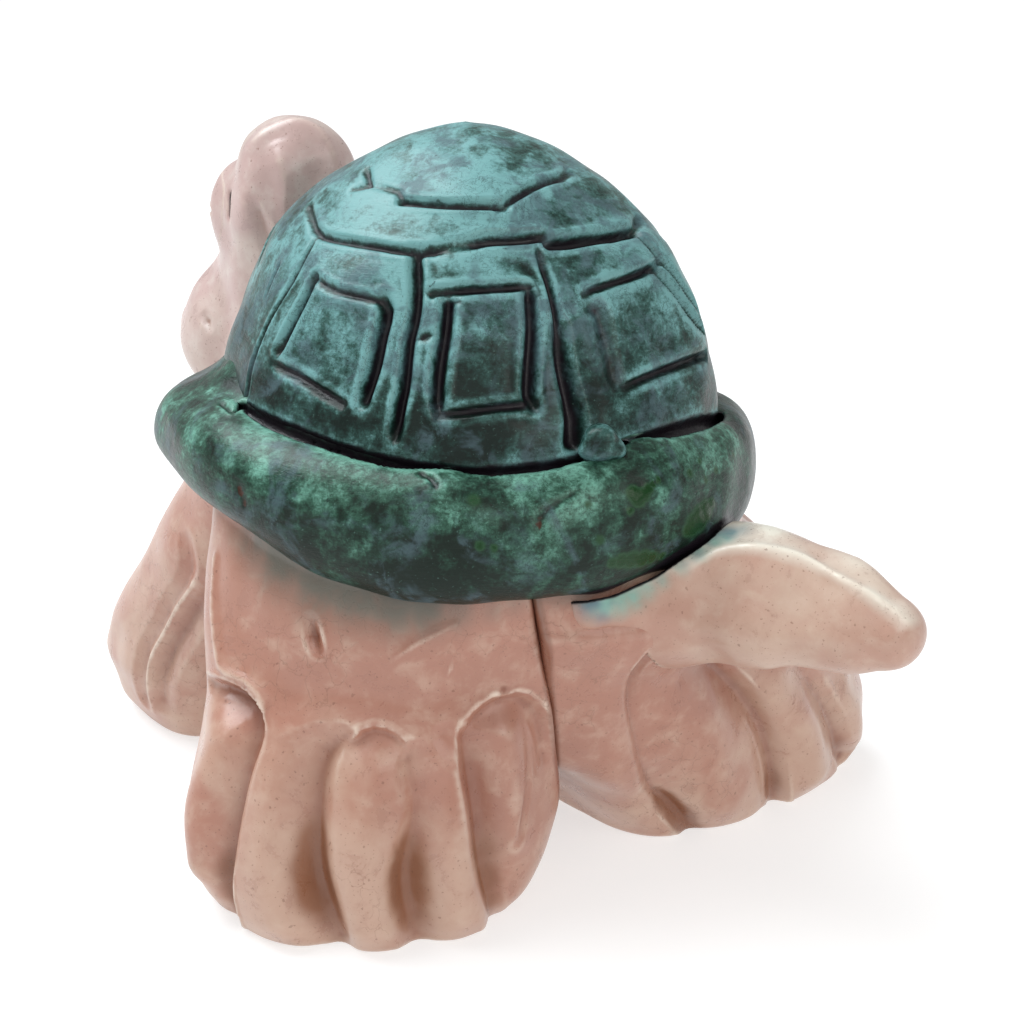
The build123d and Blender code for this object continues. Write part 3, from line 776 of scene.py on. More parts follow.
RL_LINES = seen(rl_base, [
    # outermost toe: it starts under an arched lip
    ([(206, 684, 0.5), (222, 690, 1.1), (240, 701, 1.3), (252, 716, 1.2), (255, 738, 1.0), (248, 768, 0.8), (241, 800, 0.8), (233, 838, 0.9), (227, 872, 1.1), (227, 900, 1.2), (234, 924, 1.1)], 2.7, 0.9, 2.7, 0.60, 1.5),
    ([(216, 694, 0.5), (228, 698, 1.0), (240, 706, 0.6)], 1.6, 1.6, 1.4, 0.0, 2.0),
    # between the second and third toes
    ([(340, 745, 0.5), (326, 758, 0.8), (319, 780, 0.9), (317, 808, 0.9), (316, 842, 1.0), (317, 874, 1.3), (323, 900, 1.4), (332, 925, 1.1), (340, 948, 0.9)], 3.6, 1.4, 3.7, 0.60, 1.5),
    ([(312, 850, 0.3), (310, 880, 1.0), (314, 908, 0.8)], 2.1, 2.1, 4.2, 0.00, 1.5),
    # lip over the third toe
    ([(330, 756, 0.6), (340, 747, 0.9), (354, 745, 1.0), (370, 735, 1.1), (386, 737, 1.0), (402, 748, 0.8), (412, 764, 0.6)], 3.0, 1.0, 1.6, 0.38, 1.5),
    # between the third and fourth toes
    ([(409, 764, 0.5), (416, 790, 0.6), (416, 820, 0.7), (409, 850, 0.9), (404, 875, 1.2), (405, 900, 1.3), (411, 925, 1.1), (418, 945, 0.9)], 1.7, 3.8, 3.6, 0.50, 1.5),
    ([(398, 846, 0.3), (402, 868, 0.9), (404, 890, 1.0), (407, 912, 0.6)], 0.9, 1.1, 4.5, 0.00, 1.5),
    # between the fourth and fifth toes
    ([(467, 742, 0.6), (470, 765, 0.8), (476, 800, 0.9), (483, 840, 1.0), (488, 868, 1.0), (492, 888, 0.9), (494, 905, 0.7), (494, 922, 0.5)], 1.3, 3.3, 3.5, 0.60, 1.5),
    # arch round the fifth toe
    ([(467, 745, 1.0), (472, 728, 1.0), (484, 714, 1.0), (501, 704, 1.0), (520, 702, 1.0), (534, 711, 1.0), (542, 730, 0.8), (546, 756, 0.5)], 2.7, 1.0, 1.6, 0.40, 1.5),
    ([(526, 722, 0.6), (529, 760, 1.0), (527, 800, 1.0), (520, 838, 0.8), (509, 851, 0.6), (497, 847, 0.3)], 1.3, 0.8, 0.55, 0.12, 2.0),
    # dents and pinched wrinkles above the toes
    ([(312, 622, 0.4), (314, 636, 1.0), (318, 652, 0.5)], 1.1, 0.8, 1.3, 0.2, 2.0),
    ([(441, 715, 0.3), (444, 735, 1.0), (448, 760, 0.5)], 3.0, 3.0, 1.0, 0.0, 2.0),
    ([(500, 688, 0.4), (506, 692, 1.0), (512, 688, 0.4)], 0.9, 0.9, 1.0, 0.1, 2.0),
    ([(388, 664, 0.3), (413, 645, 1.0), (434, 634, 1.0), (455, 624, 0.5)], 0.8, 0.6, -0.45, 0.0, 2.0),
    ([(454, 656, 0.4), (452, 668, 1.0), (446, 684, 0.4)], 0.6, 0.6, -0.45, 0.0, 2.0),
    ([(217, 560, 0.8), (216, 620, 1.0), (221, 668, 1.0), (244, 682, 1.0), (262, 704, 0.8), (263, 732, 0.5)], 0.8, 1.0, -0.6, 0.0, 2.0),
    # soft saddle between the leg and the toes
    ([(300, 700, 0.6), (360, 700, 1.0), (420, 705, 1.0), (455, 690, 0.6)], 5.0, 5.0, 1.2, 0.0, 2.0),
    # the toes' rounded backs
    ([(222, 745, 0.5), (208, 800, 1.0), (206, 860, 1.0)], 4.4, 4.4, -2.8, 0.0, 2.0),
    ([(283, 745, 0.4), (274, 800, 0.9), (272, 860, 1.0), (282, 915, 0.9)], 4.6, 4.6, -2.3, 0.0, 2.0),
    ([(366, 775, 0.5), (364, 830, 1.0), (362, 880, 1.0), (370, 925, 0.9)], 4.4, 4.4, -2.2, 0.0, 2.0),
    ([(445, 775, 0.5), (452, 830, 1.0), (455, 880, 1.0), (455, 915, 0.9)], 4.2, 3.8, -2.0, 0.0, 2.0),
    ([(503, 735, 0.6), (508, 790, 1.0), (512, 845, 1.0)], 3.4, 3.4, -1.8, 0.0, 2.0),
]) + onto(rl_base, [
    # round the far side of the foot, out of sight
    ([(48.5, -3.0, 26.0, 0.4), (51.0, -3.5, 16.0, 0.9), (51.0, -4.0, 6.0, 1.1), (49.0, -4.5, 0.0, 0.9)], 3.0, 2.4, 2.7, 0.30, 1.5),
    ([(40.0, -12.0, 26.0, 0.4), (41.5, -13.0, 16.0, 0.9), (41.5, -13.0, 6.0, 1.1), (40.0, -12.5, 0.0, 0.9)], 2.8, 2.8, 2.2, 0.30, 1.5),
])


def rear_left_leg(P):
    d = rl_base(P)
    d = d + 0.4 * waves(P, 21, 11.0) + 0.1 * waves(P, 22, 4.5)
    d = d + pressed(P, RL_LINES)[0]
    d = smax(d, seam_side(P) - 0.22, 0.8)
    d = smax(d, -14.5 - P[1], 3.0)
    d = smax(d, -P[2], 1.2)
    return body_cut(P, d)


RR_T = lofted([
    (0, -36.2, 13.8, 26.8, 21.0), (3, -36.0, 14.0, 28.4, 22.0), (8, -35.2, 14.2, 30.4, 22.4), (14, -33.6, 14.4, 32.2, 22.4),
    (22, -30.0, 14.6, 32.6, 22.4), (32, -24.5, 15.0, 31.4, 22.6), (42, -19.5, 15.5, 29.6, 24.0), (50, -16.5, 15.0, 28.2, 25.0),
    (62, -16.0, 15.0, 28.2, 25.0),
])


def rr_base(P):
    d = smin(loft(P, RR_T, 0.0, 2.9), haunch(P, 172.0, -1.0), 5.0)
    # a web of clay that fills the leg up to the seam
    d = smin(d, cone(P, (6.0, 33.0, 50.0), (-7.0, 30.0, 21.0), 6.8, 4.6), 9.0)
    # and swells up to the root of the tail
    d = smin(d, chain(P, [(6.0, 38.8, 48.4, 4.8), (-9.0, 37.6, 44.6, 7.4), (-16.0, 43.0, 43.5, 4.0)], 3.0), 7.0)
    return under_rim(P, d, ([-24.0, -15.0, -5.0, 0.0], [74.0, 56.0, 43.6, 42.4]), 2.0)


RR_LINES = seen(rr_base, [
    # between the innermost toe and the wide one
    ([(650, 652, 0.5), (637, 672, 1.0), (632, 700, 0.9), (636, 735, 0.6), (643, 768, 0.6), (652, 790, 0.9), (666, 808, 1.2), (684, 826, 1.3), (698, 842, 1.1)], 0.9, 3.3, 1.8, 0.60, 1.5),
    ([(650, 786, 0.3), (664, 802, 1.0), (680, 820, 1.2), (692, 836, 1.0)], 1.4, 1.9, 2.5, 0.20, 1.5),
    # between the wide toe and the next
    ([(700, 655, 0.5), (720, 670, 0.9), (744, 692, 1.1), (762, 718, 1.1), (774, 748, 1.1), (780, 780, 1.3), (782, 806, 1.3)], 3.3, 1.1, 2.4, 0.60, 1.5),
    # towards the outermost toe
    ([(800, 668, 0.5), (818, 692, 0.9), (834, 716, 1.0), (844, 738, 1.3), (848, 758, 1.2)], 2.8, 1.4, 2.0, 0.40, 1.5),
    # the toes' rounded backs
    ([(600, 690, 0.5), (600, 740, 1.0), (622, 795, 1.0)], 5.2, 5.2, -1.6, 0.0, 2.0),
    ([(690, 690, 0.6), (708, 740, 1.0), (722, 795, 1.0)], 6.0, 6.0, -2.2, 0.0, 2.0),
    ([(775, 680, 0.6), (800, 720, 1.0), (814, 770, 1.0)], 4.0, 4.0, -2.0, 0.0, 2.0),
    ([(846, 690, 0.6), (855, 712, 1.0), (858, 735, 0.8)], 2.5, 2.5, -0.8, 0.0, 2.0),
    # a pricked ring, a nub at the toe's edge
    ([(677, 678, 1.0), (682, 681, 1.0), (683, 687, 1.0), (678, 690, 1.0), (674, 686, 1.0), (675, 680, 1.0)], 0.32, 0.32, 0.16, 0.12, 2.0),
    ([(770, 800, 0.5), (772, 806, 1.0), (773, 810, 0.6)], 0.9, 0.9, -1.2, 0.0, 2.0),
    # pinched leg above the toes
    ([(576, 620, 0.4), (584, 650, 0.8), (588, 690, 0.5)], 3.5, 3.5, 0.6, 0.0, 2.0),
]) + onto(rr_base, [
    ([(-56.0, 19.0, 27.0, 0.4), (-61.5, 18.0, 16.0, 0.9), (-62.5, 17.0, 7.0, 1.1), (-61.0, 16.5, 0.5, 0.9)], 2.6, 2.6, 2.3, 0.30, 1.5),
    ([(-57.0, 4.0, 24.0, 0.4), (-60.5, 4.0, 14.0, 0.9), (-61.0, 4.0, 6.0, 1.1), (-58.5, 4.0, 0.5, 0.9)], 2.8, 2.8, 2.5, 0.30, 1.5),
    ([(-45.5, -8.0, 24.0, 0.4), (-47.0, -8.8, 14.0, 0.9), (-47.0, -8.8, 6.0, 1.1), (-46.0, -7.5, 0.0, 0.9)], 2.8, 2.8, 2.2, 0.30, 1.5),
])


def rear_right_leg(P):
    d = rr_base(P)
    d = d + 0.4 * waves(P, 31, 11.0) + 0.1 * waves(P, 32, 4.5)
    d = d + pressed(P, RR_LINES)[0]
    d = smax(d, -0.22 - seam_side(P), 0.8)
    d = smax(d, -14.5 - P[1], 3.0)
    d = smax(d, -P[2], 1.2)
    return body_cut(P, d)


FRONT_T = lofted([
    (0, 20.6, -56.8, 13.6, 15.0), (4, 20.8, -56.8, 16.0, 17.2), (12, 21.4, -55.4, 17.8, 18.6), (20, 20.8, -51.4, 17.8, 18.4),
    (30, 19.7, -44.2, 17.2, 17.8), (40, 18.8, -37.0, 16.8, 17.3), (50, 17.5, -29.4, 15.8, 16.5), (62, 17.0, -23.0, 15.4, 16.0),
])


def front_base(P):
    d = loft(P, FRONT_T, 0.0, 2.5)
    lowz = rim_at(P)[0]
    return smax(d, P[2] - lowz - 6.0, 0.5)


FL_LINES = seen(front_base, [
    # outermost toe and the one beside it, seen past the rear leg
    ([(186, 545, 0.4), (187, 570, 0.8), (181, 589, 0.9), (168, 606, 0.9), (155, 631, 1.0), (142, 654, 1.1), (139, 680, 1.1), (142, 700, 0.9)], 2.7, 1.4, 1.6, 0.40, 1.5),
    ([(212, 596, 0.6), (197, 609, 1.0), (184, 630, 1.1), (169, 655, 1.1), (160, 680, 0.9), (160, 702, 0.7)], 2.7, 1.7, 2.4, 0.40, 1.5),
])
FRONT_LINES = drawn([
    # the toes that point ahead
    ([(28.5, -62.0, 30.0, 0.3), (31.0, -67.5, 18.0, 0.9), (30.5, -69.5, 8.0, 1.2), (28.5, -68.0, 0.0, 1.0)], 2.7, 2.7, 2.5, 0.30, 1.5),
    ([(20.5, -60.0, 31.0, 0.3), (20.5, -69.0, 18.0, 0.9), (20.0, -72.0, 8.0, 1.2), (19.5, -70.0, 0.0, 1.0)], 2.7, 2.7, 2.7, 0.30, 1.5),
    ([(11.5, -59.0, 29.0, 0.3), (10.0, -67.0, 17.0, 0.9), (9.5, -69.5, 8.0, 1.2), (9.5, -67.5, 0.0, 1.0)], 2.7, 2.7, 2.5, 0.30, 1.5),
])
FR_LINES = [(X * np.array([-1.0, 1, 1]), m, c * np.array([-1.0, 1, 1]), wr, wl, d, b, s) for X, m, c, wl, wr, d, b, s in FL_LINES + FRONT_LINES]
FL_LINES = FL_LINES + FRONT_LINES


def front_leg(P, seed, mirror, lines):
    X = -P[0] if mirror else P[0]
    d = front_base((X, P[1], P[2]))
    d = d + 0.4 * waves(P, seed, 11.0) + 0.1 * waves(P, seed + 1, 4.5)
    d = d + pressed(P, lines)[0]
    d = smax(d, 1.2 - X, 2.5)
    d = smax(d, P[1] + 14.8, 3.0)
    d = smax(d, -P[2], 1.2)
    return body_cut(P, d)


def front_left_leg(P):
    return front_leg(P, 41, False, FL_LINES)


def front_right_leg(P):
    return front_leg(P, 51, True, FR_LINES)


# ------------------------------------------------------------------ tail
TAIL = [
    (-4.0, 23.0, 46.0, 6.8), (-8.5, 31.0, 46.4, 9.0), (-12.0, 38.0, 46.8, 10.2), (-17.8, 50.0, 48.5, 9.5), (-22.7, 60.5, 47.8, 7.5),
    (-26.0, 67.3, 46.7, 5.2),
]


def tail_base(P):
    d = chain(P, TAIL, 4.0)
    # its root is smeared along under the rim
    return smin(d, cone(P, (-10.0, 38.0, 47.2), (6.0, 39.8, 50.2), 9.4, 5.2), 6.0)


TAIL_LINES = seen(tail_base, [
    # the long facet's edge, pinched up between two fingers
    ([(672, 573, 0.3), (690, 568, 0.7), (706, 562, 0.9), (724, 552, 1), (757, 549, 1), (795, 556, 1), (833, 574, 1), (872, 597, 0.9), (908, 624, 0.4)], 0.95, 1.15, -0.95, 0, 1.6),
    ([(700, 548, 0.4), (745, 538, 1), (790, 544, 1), (836, 564, 1), (880, 592, 0.6)], 2.6, 2.6, 0.5, 0, 2),
    # the soft lower edge, and the flat between them
    ([(664, 626, 0.3), (719, 638, 0.9), (774, 642, 1), (832, 647, 0.8), (874, 650, 0.3)], 2.4, 2.4, -0.7, 0, 2),
    ([(690, 598, 0.5), (740, 594, 1), (800, 606, 1), (860, 630, 0.4)], 4.5, 4.5, 0.8, 0, 2),
    # hairline cracks along it
    ([(668, 606, 0.5), (700, 599, 1), (742, 594, 1), (780, 598, 0.6)], 0.2, 0.2, 0.3, 0, 2),
    ([(716, 616, 0.5), (758, 612, 1), (806, 620, 1), (850, 637, 0.5)], 0.18, 0.18, 0.28, 0, 2),
    ([(790, 584, 0.5), (812, 596, 1), (826, 612, 0.6)], 0.18, 0.18, 0.28, 0, 2),
])


def tail(P):
    d = tail_base(P)
    d = d + 0.3 * waves(P, 61, 9.0) + 0.1 * waves(P, 62, 4.0)
    d = d + pressed(P, TAIL_LINES)[0]
    d = body_cut(P, d, 0.7)
    d = smax(d, -(rr_base(P) + 0.3), 0.5)
    return smax(d, -(rl_base(P) + 0.3), 0.5)


# ------------------------------------------------------------------ head
EYE = (6.8, -65.2, 89.4)


def head_shape(P):
    d = ell(P, (0, -54.2, 94.6), (10.9, 11.0, 12.6))
    d = smin(d, cone(P, (0, -38.0, 44.0), (0, -53.0, 62.0), 12.0, 12.5), 5.0)
    d = smin(d, cone(P, (0, -53.0, 62.0), (0, -56.5, 88.0), 12.3, 10.8), 5.0)
    # brow mounds and the long drooping snout
    d = smin(d, ell(P, (5.6, -64.0, 89.4), (5.8, 6.0, 8.4)), 3.0)
    d = smin(d, ell(P, (-5.6, -64.0, 89.4), (5.8, 6.0, 8.4)), 3.0)
    d = smin(d, cone(P, (0.6, -62.0, 82.0), (0.8, -68.0, 70.0), 8.8, 11.6), 4.0)
    return smin(d, ell(P, (1.5, -70.4, 65.4), (13.8, 12.3, 13.0)), 4.0)


HEAD_LINES = seen(head_shape, [
    # folds of the cheek and temple
    ([(254, 200, 0.4), (259, 216, 1), (264, 232, 1), (270, 250, 0.5)], 1.5, 1.1, 1.0, 0.25, 1.6),
    ([(276, 148, 0.3), (281, 165, 1), (287, 190, 0.4)], 1.6, 1.6, -0.8, 0, 2),
    ([(250, 148, 0.4), (262, 137, 1), (280, 127, 1), (298, 124, 1), (318, 133, 1), (332, 156, 0.8), (338, 176, 0.4)], 1.7, 1.7, -0.7, 0, 2),
    ([(312, 156, 0.4), (316, 178, 1), (306, 206, 0.9), (298, 232, 0.4)], 3.0, 3.0, 1.3, 0, 2),
    ([(262, 166, 0.4), (266, 190, 1), (274, 210, 0.6)], 2.6, 2.6, 0.7, 0, 2),
    ([(246, 180, 0.5), (247, 204, 1), (246, 226, 0.5)], 3.0, 3.0, -0.7, 0, 2),
    ([(240, 250, 0.4), (250, 285, 1), (244, 322, 0.4)], 3.2, 3.2, 0.9, 0, 2),
    ([(204, 316, 0.5), (207, 321, 1), (210, 327, 0.5)], 0.8, 0.8, 0.7, 0.2, 2),
]) + ahead_of(head_shape, [
    # the mouth, its corners dimpled, and two nostrils
    ([(-11.4, 68.5, 1.2), (-10.2, 65.0, 0.9), (-7.4, 61.6, 1), (-3.8, 60.0, 1), (0, 59.6, 1), (3.8, 60.0, 1), (7.4, 61.6, 1), (10.4, 65.0, 0.9), (11.9, 68.5, 1.2)], 0.75, 0.75, 1.3, 0.25, 2.2),
    ([(-3.9, 71.8, 0.7), (-3.3, 72.6, 1), (-2.7, 73.0, 0.7)], 0.8, 0.8, 1.4, 0.2, 2.2),
    ([(3.9, 71.8, 0.7), (3.3, 72.6, 1), (2.7, 73.0, 0.7)], 0.8, 0.8, 1.4, 0.2, 2.2),
])


# the slits between the lids, and the creases over and under them
EYE_LINES = onto(head_shape, [
    ([(10.3, -59.5, 93.6, 0.8), (10.7, -59.0, 92.7, 1.1), (10.95, -58.6, 91.9, 1.1), (11.2, -58.3, 91.1, 1.1), (11.3, -58.2, 90.2, 0.8)], 0.8, 0.8, 1.3, 0.0, 2.6),
    ([(2.4, -69.6, 89.4, 0.5), (4.6, -70.0, 90.2, 1), (7.0, -69.6, 90.2, 1), (9.4, -67.6, 90.0, 1), (10.7, -65.8, 89.6, 0.5)], 0.45, 0.45, 0.9, 0.2, 2.2),
])
# the right eye's slit runs on to its corner
FAR_LINES = EYE_LINES[:1] + onto(head_shape, [
    ([(2.4, -69.6, 89.4, 0.5), (4.6, -70.0, 90.2, 1), (7.0, -69.6, 90.2, 1), (9.6, -67.4, 90.2, 1), (11.2, -64.6, 90.5, 1), (11.6, -61.6, 91.0, 1), (11.4, -58.8, 91.6, 1)], 0.45, 0.45, 0.9, 0.2, 2.2),
])
EYE_FOLDS = ahead_of(head_shape, [
    ([(1.6, 91.5, 0.4), (3.6, 94.0, 1), (6.4, 94.4, 1), (8.8, 92.4, 0.5)], 0.7, 0.7, 0.6, 0.2, 2.2),
    ([(1.8, 87.2, 0.4), (4.0, 85.2, 1), (6.8, 85.2, 1), (9.0, 87.0, 0.5)], 0.7, 0.7, 0.45, 0.2, 2.2),
])


def flipped(lines):
    m = np.array([-1.0, 1.0, 1.0])
    return [(X * m, a, c * m, wr, wl, *rest) for X, a, c, wl, wr, *rest in lines]


SLITS = EYE_LINES + flipped(FAR_LINES)
FOLDS = EYE_FOLDS + flipped(EYE_FOLDS)


def face(P):
    """The skin of head and neck with the eyes in place."""
    d = head_shape(P)
    d = d + 0.3 * waves(P, 71, 9.0) + 0.1 * waves(P, 72, 4.0)
    return d + pressed(P, HEAD_LINES + SLITS + FOLDS)[0]


def socket(P, s):
    return ell(P, (s * EYE[0], EYE[1], EYE[2]), (5.6, 6.0, 7.4))


def head(P):
    d = face(P)
    d = smax(d, -(np.minimum(socket(P, 1), socket(P, -1)) + 0.6), 0.1)
    return body_cut(P, d)


def eye(P, s):
    return smax(smax(face(P) - 0.04, socket(P, s), 0.1), 0.1 - s * P[0], 0.3)


def left_eye(P):
    return eye(P, 1)


def right_eye(P):
    return eye(P, -1)


def belly_bowl(P):
    d = turned(P, BELLY_T)
    d = d + 0.25 * waves(P, 91, 10.0)
    d = np.maximum(d, -(turned(P, BELLY_T) + 6.0))
    d = smax(d, P[2] - 58.0, 0.4)
    return smax(d, -(np.sqrt(P[0] ** 2 + P[1] ** 2) - 2.5), 0.6)


_spot = cast(dome_base, [(594, 442)])[0]
PELLET = _spot + 1.1 * np.array([_spot[0], _spot[1], 0.0]) / np.hypot(_spot[0], _spot[1])


def shell_pellet(P):
    turn = math.degrees(math.atan2(PELLET[1], PELLET[0]))
    d = ell(P, PELLET, (2.3, 3.1, 2.6), turn)
    d = smin(d, ell(P, PELLET + 1.5 * RIGHT - 0.6 * UP, (1.9, 2.0, 1.8), turn), 1.2)
    d = d + 0.3 * waves(P, 95, 2.2)
    return smax(d, -(turned(P, DOME_T) + 0.2), 0.2)


# ------------------------------------------------------------------ where glazes pool, bleed and speck, and where light and shade are painted
def spots(P, places):
    """Soft round spots: (point, radius, strength)."""
    out = np.zeros_like(P[0])
    for c, r, v in places:
        d2 = sum((P[i] - F32(c[i])) ** 2 for i in range(3))
        out = np.maximum(out, v * np.exp(-d2 / (r * r)))
    return out


def at_px(f, marks):
    """(x, y, radius, strength) in the picture's frame, as spots on f."""
    X = cast(f, [m[:2] for m in marks])
    return [(x, m[2], m[3]) for x, m in zip(X, marks)]


RIM_POOLS = at_px(rim_shape, [
    (633, 493, 0.9, 1.0), (638, 499, 1.0, 1.0), (643, 495, 0.9, 1.0), (648, 489, 0.7, 0.9), (653, 484, 0.45, 0.8), (659, 480, 0.4, 0.7),
    (630, 511, 0.5, 0.8), (688, 529, 1.0, 0.9), (693, 524, 1.5, 1.0), (699, 518, 1.7, 1.0), (705, 511, 1.4, 1.0), (711, 504, 0.8, 0.8),
    (612, 563, 0.8, 0.6), (622, 561, 1.1, 0.8), (632, 560, 1.2, 0.9), (643, 559, 1.2, 0.9), (652, 558, 0.9, 0.8), (662, 556, 0.7, 0.6),
    (480, 546, 0.7, 0.6), (494, 548, 0.6, 0.5), (474, 500, 1.0, 0.4), (588, 505, 0.7, 0.35), (600, 540, 0.8, 0.4),
    (690, 473, 0.7, 0.5), (706, 480, 0.6, 0.5), (716, 470, 0.6, 0.5), (700, 461, 0.6, 0.4), (733, 455, 0.5, 0.5),
])
RIM_RUST = at_px(rim_shape, [
    (239, 489, 0.55, 1.0), (240, 493, 0.6, 1.0), (243, 498, 0.4, 0.7), (244, 504, 0.5, 1.0), (539, 524, 0.55, 1.0), (541, 518, 0.5, 1.0), (540, 528, 0.4, 0.8),
])
# the coil's crest and shoulders, where its glaze runs thin and paler, with a painted highlight on them
RIM_PALE_AND_HIGHLIGHT = at_px(rim_shape, [
    (170, 400, 4.0, 0.8), (195, 430, 4.5, 1.0), (225, 455, 4.0, 0.8), (260, 470, 3.5, 0.6), (300, 500, 3.0, 0.6), (350, 525, 3.0, 0.5), (330, 560, 3.0, 0.4),
    (400, 560, 3.0, 0.4), (600, 470, 3.0, 0.5), (560, 530, 3.5, 0.4), (650, 455, 3.0, 0.6), (690, 450, 2.5, 0.6), (725, 440, 2.5, 0.6), (735, 480, 2.5, 0.4), (600, 505, 6.0, 0.6), (665, 505, 6.0, 0.8), (640, 535, 5.0, 0.6), (720, 500, 4.0, 0.5), (550, 555, 4.0, 0.4),
    (520, 500, 2.5, 0.4), (450, 490, 2.0, 0.4), (670, 530, 2.0, 0.4),
])
RIM_CRACK = seen(rim_shape, [
    ([(222, 404, 0.5), (229, 411, 1.0), (237, 412, 0.8), (244, 406, 0.5)], 0.45, 0.45, 0.7, 0.4, 2.0),
    ([(540, 520, 1.0), (546, 512, 1.0), (556, 504, 1.0), (566, 498, 0.9), (574, 493, 0.5)], 0.34, 0.34, 0.35, 0.0, 2.0),
    ([(648, 489, 0.8), (655, 483, 1.0), (662, 477, 0.6)], 0.34, 0.34, 0.35, 0.0, 2.0),
    ([(655, 484, 0.8), (664, 482, 0.6)], 0.3, 0.3, 0.3, 0.0, 2.0),
    ([(420, 473, 0.5), (432, 478, 1.0), (436, 486, 0.6)], 0.4, 0.4, 0.5, 0.2, 2.0),
])
_shell_rim = shell_rim


def shell_rim(P):
    d = _shell_rim(P)
    near = np.nonzero(np.abs(d) < 3.0)[0]
    if near.size:
        Q = tuple(p[near] for p in P)
        d[near] += pressed(Q, RIM_CRACK)[0] - 0.35 * spots(Q, RIM_POOLS[:12]) + 0.3 * spots(Q, RIM_RUST)
    return d


def rim_marks(P, N):
    c = np.clip(crevice(P), 0.0, 9.0)
    g = np.clip(1.4 * rim_at(P)[3], 0.0, 1.0)
    # painted shade in the crevice where the coil meets the dome, over glaze pooled there
    dark = np.exp(-((c / 0.8) ** 2)) * g
    crack = pressed(P, RIM_CRACK)[1]
    # painted shadow in the narrow gap between the rim and the tail
    gap = np.exp(-((np.clip(tail(P) - 0.5, 0, 9) / 0.5) ** 2))
    # tone: the paler crest and shoulders, partly a painted highlight
    return {"mark": np.maximum(np.maximum(dark, gap), 0.8 * crack), "pool": spots(P, RIM_POOLS), "rust": spots(P, RIM_RUST), "tone": spots(P, RIM_PALE_AND_HIGHLIGHT)}


# painted light on the dome: paler at its upper left as a painted highlight (more), darker low down and in the scutes'
# middles as painted shade (less), over the glaze's own paler and darker patches
DOME_LIGHT_AND_TONE = at_px(dome_base, [
    (488, 330, 5.5, -0.9), (488, 372, 6.0, -1.0), (470, 396, 4.0, -0.6), (512, 350, 4.0, -0.6), (320, 425, 6.0, -0.7), (400, 440, 6.0, -0.6), (480, 440, 6.0, -0.5),
    (640, 400, 6.0, -0.5), (690, 420, 6.0, -0.4), (560, 260, 4.0, -0.4), (690, 350, 4.0, -0.4), (600, 190, 6.0, -0.3), (520, 160, 5.0, -0.25),
    (430, 165, 8.0, 0.9), (370, 200, 6.5, 1.0), (330, 225, 5.0, 0.8), (460, 190, 5.0, 0.5), (350, 262, 4.5, 1.0), (395, 272, 4.0, 0.9), (300, 270, 4.5, 0.7),
    (470, 262, 4.0, 0.6), (270, 350, 4.0, 0.5), (330, 320, 4.0, 0.5), (430, 330, 2.5, 0.5), (600, 270, 3.5, 0.4), (640, 310, 4.0, 0.4),
])


def dome_light_and_tone(P):
    """Sum of those soft spots."""
    out = np.zeros_like(P[0])
    for c, r, v in DOME_LIGHT_AND_TONE:
        out = out + v * np.exp(-sum((P[i] - F32(c[i])) ** 2 for i in range(3)) / (r * r))
    return np.clip(out, -1.0, 1.0)


def pellet_marks(P, N):
    z = np.zeros_like(P[0])
    # painted shade where the pellet sits on the dome
    return {"mark": np.exp(-((np.clip(turned(P, DOME_T), 0, 9) / 0.5) ** 2)), "pool": z, "rust": z, "tone": z}


TEAL = at_px(tail, [
    (584, 600, 2.2, 0.7), (592, 602, 3.2, 1.0), (604, 602, 3.6, 1.0), (618, 600, 3.2, 0.95), (632, 595, 2.8, 0.85), (646, 588, 2.4, 0.7), (662, 579, 2.2, 0.6),
    (680, 567, 2.0, 0.6), (700, 552, 2.2, 0.8), (714, 541, 2.4, 1.0), (727, 534, 2.8, 1.0), (742, 530, 2.6, 0.7),
])
SMOKE = at_px(rl_base, [
    (236, 540, 4.0, 0.5), (258, 552, 6.0, 0.85), (285, 566, 7.5, 1.0), (320, 584, 8.0, 1.0), (355, 597, 7.5, 1.0), (390, 606, 6.5, 1.0), (425, 611, 5.2, 0.9),
    (455, 613, 4.4, 0.7), (490, 612, 3.4, 0.5), (515, 608, 3.0, 0.45),
])
# painted shade: rosier and darker high on the rear legs under the rim, and between them beside the tail
ROSY_SHADE = at_px(rl_base, [
    (330, 640, 13.0, 0.6), (410, 650, 13.0, 0.9), (500, 690, 11.0, 1.0), (520, 790, 9.0, 1.0), (300, 600, 9.0, 0.7), (470, 800, 7.0, 0.5),
]) + at_px(rr_base, [(575, 660, 10.0, 1.0), (590, 720, 10.0, 1.0), (620, 690, 9.0, 1.0), (640, 760, 9.0, 0.6), (700, 700, 8.0, 0.5), (570, 740, 8.0, 1.0), (575, 640, 8.0, 1.0), (600, 625, 6.0, 0.9), (635, 640, 6.0, 0.9)])
# iron-brown glaze gathered deep between the toes, darkened further there as painted shade
STAIN_AND_SHADE = at_px(rl_base, [
    (230, 880, 4.0, 0.7), (229, 905, 4.0, 0.8), (314, 850, 4.5, 0.8), (313, 875, 5.0, 1.0), (317, 900, 5.0, 1.0), (326, 922, 4.0, 0.8),
    (402, 856, 4.0, 0.8), (404, 878, 4.5, 1.0), (405, 902, 4.5, 1.0), (411, 925, 4.0, 0.8), (486, 862, 4.0, 0.7), (491, 888, 4.0, 0.9), (494, 908, 3.5, 0.7),
]) + at_px(rr_base, [(664, 806, 4.0, 0.7), (682, 824, 4.5, 1.0), (695, 840, 4.0, 1.0), (780, 790, 4.0, 0.6), (846, 750, 3.5, 0.6)])
_facet = TAIL_LINES[0][0]
_facet = _facet[np.argsort(_facet[:, 1])]


def tail_top_highlight(P):
    """The tail's upper facet, where the glaze ran thin over white clay, with a painted highlight along it."""
    z = np.interp(P[1], _facet[:, 1], _facet[:, 2])
    return np.clip((P[2] - z) / 2.0 + 0.4, 0.0, 1.0) * np.clip((P[1] - 38.0) / 9.0, 0.0, 1.0)


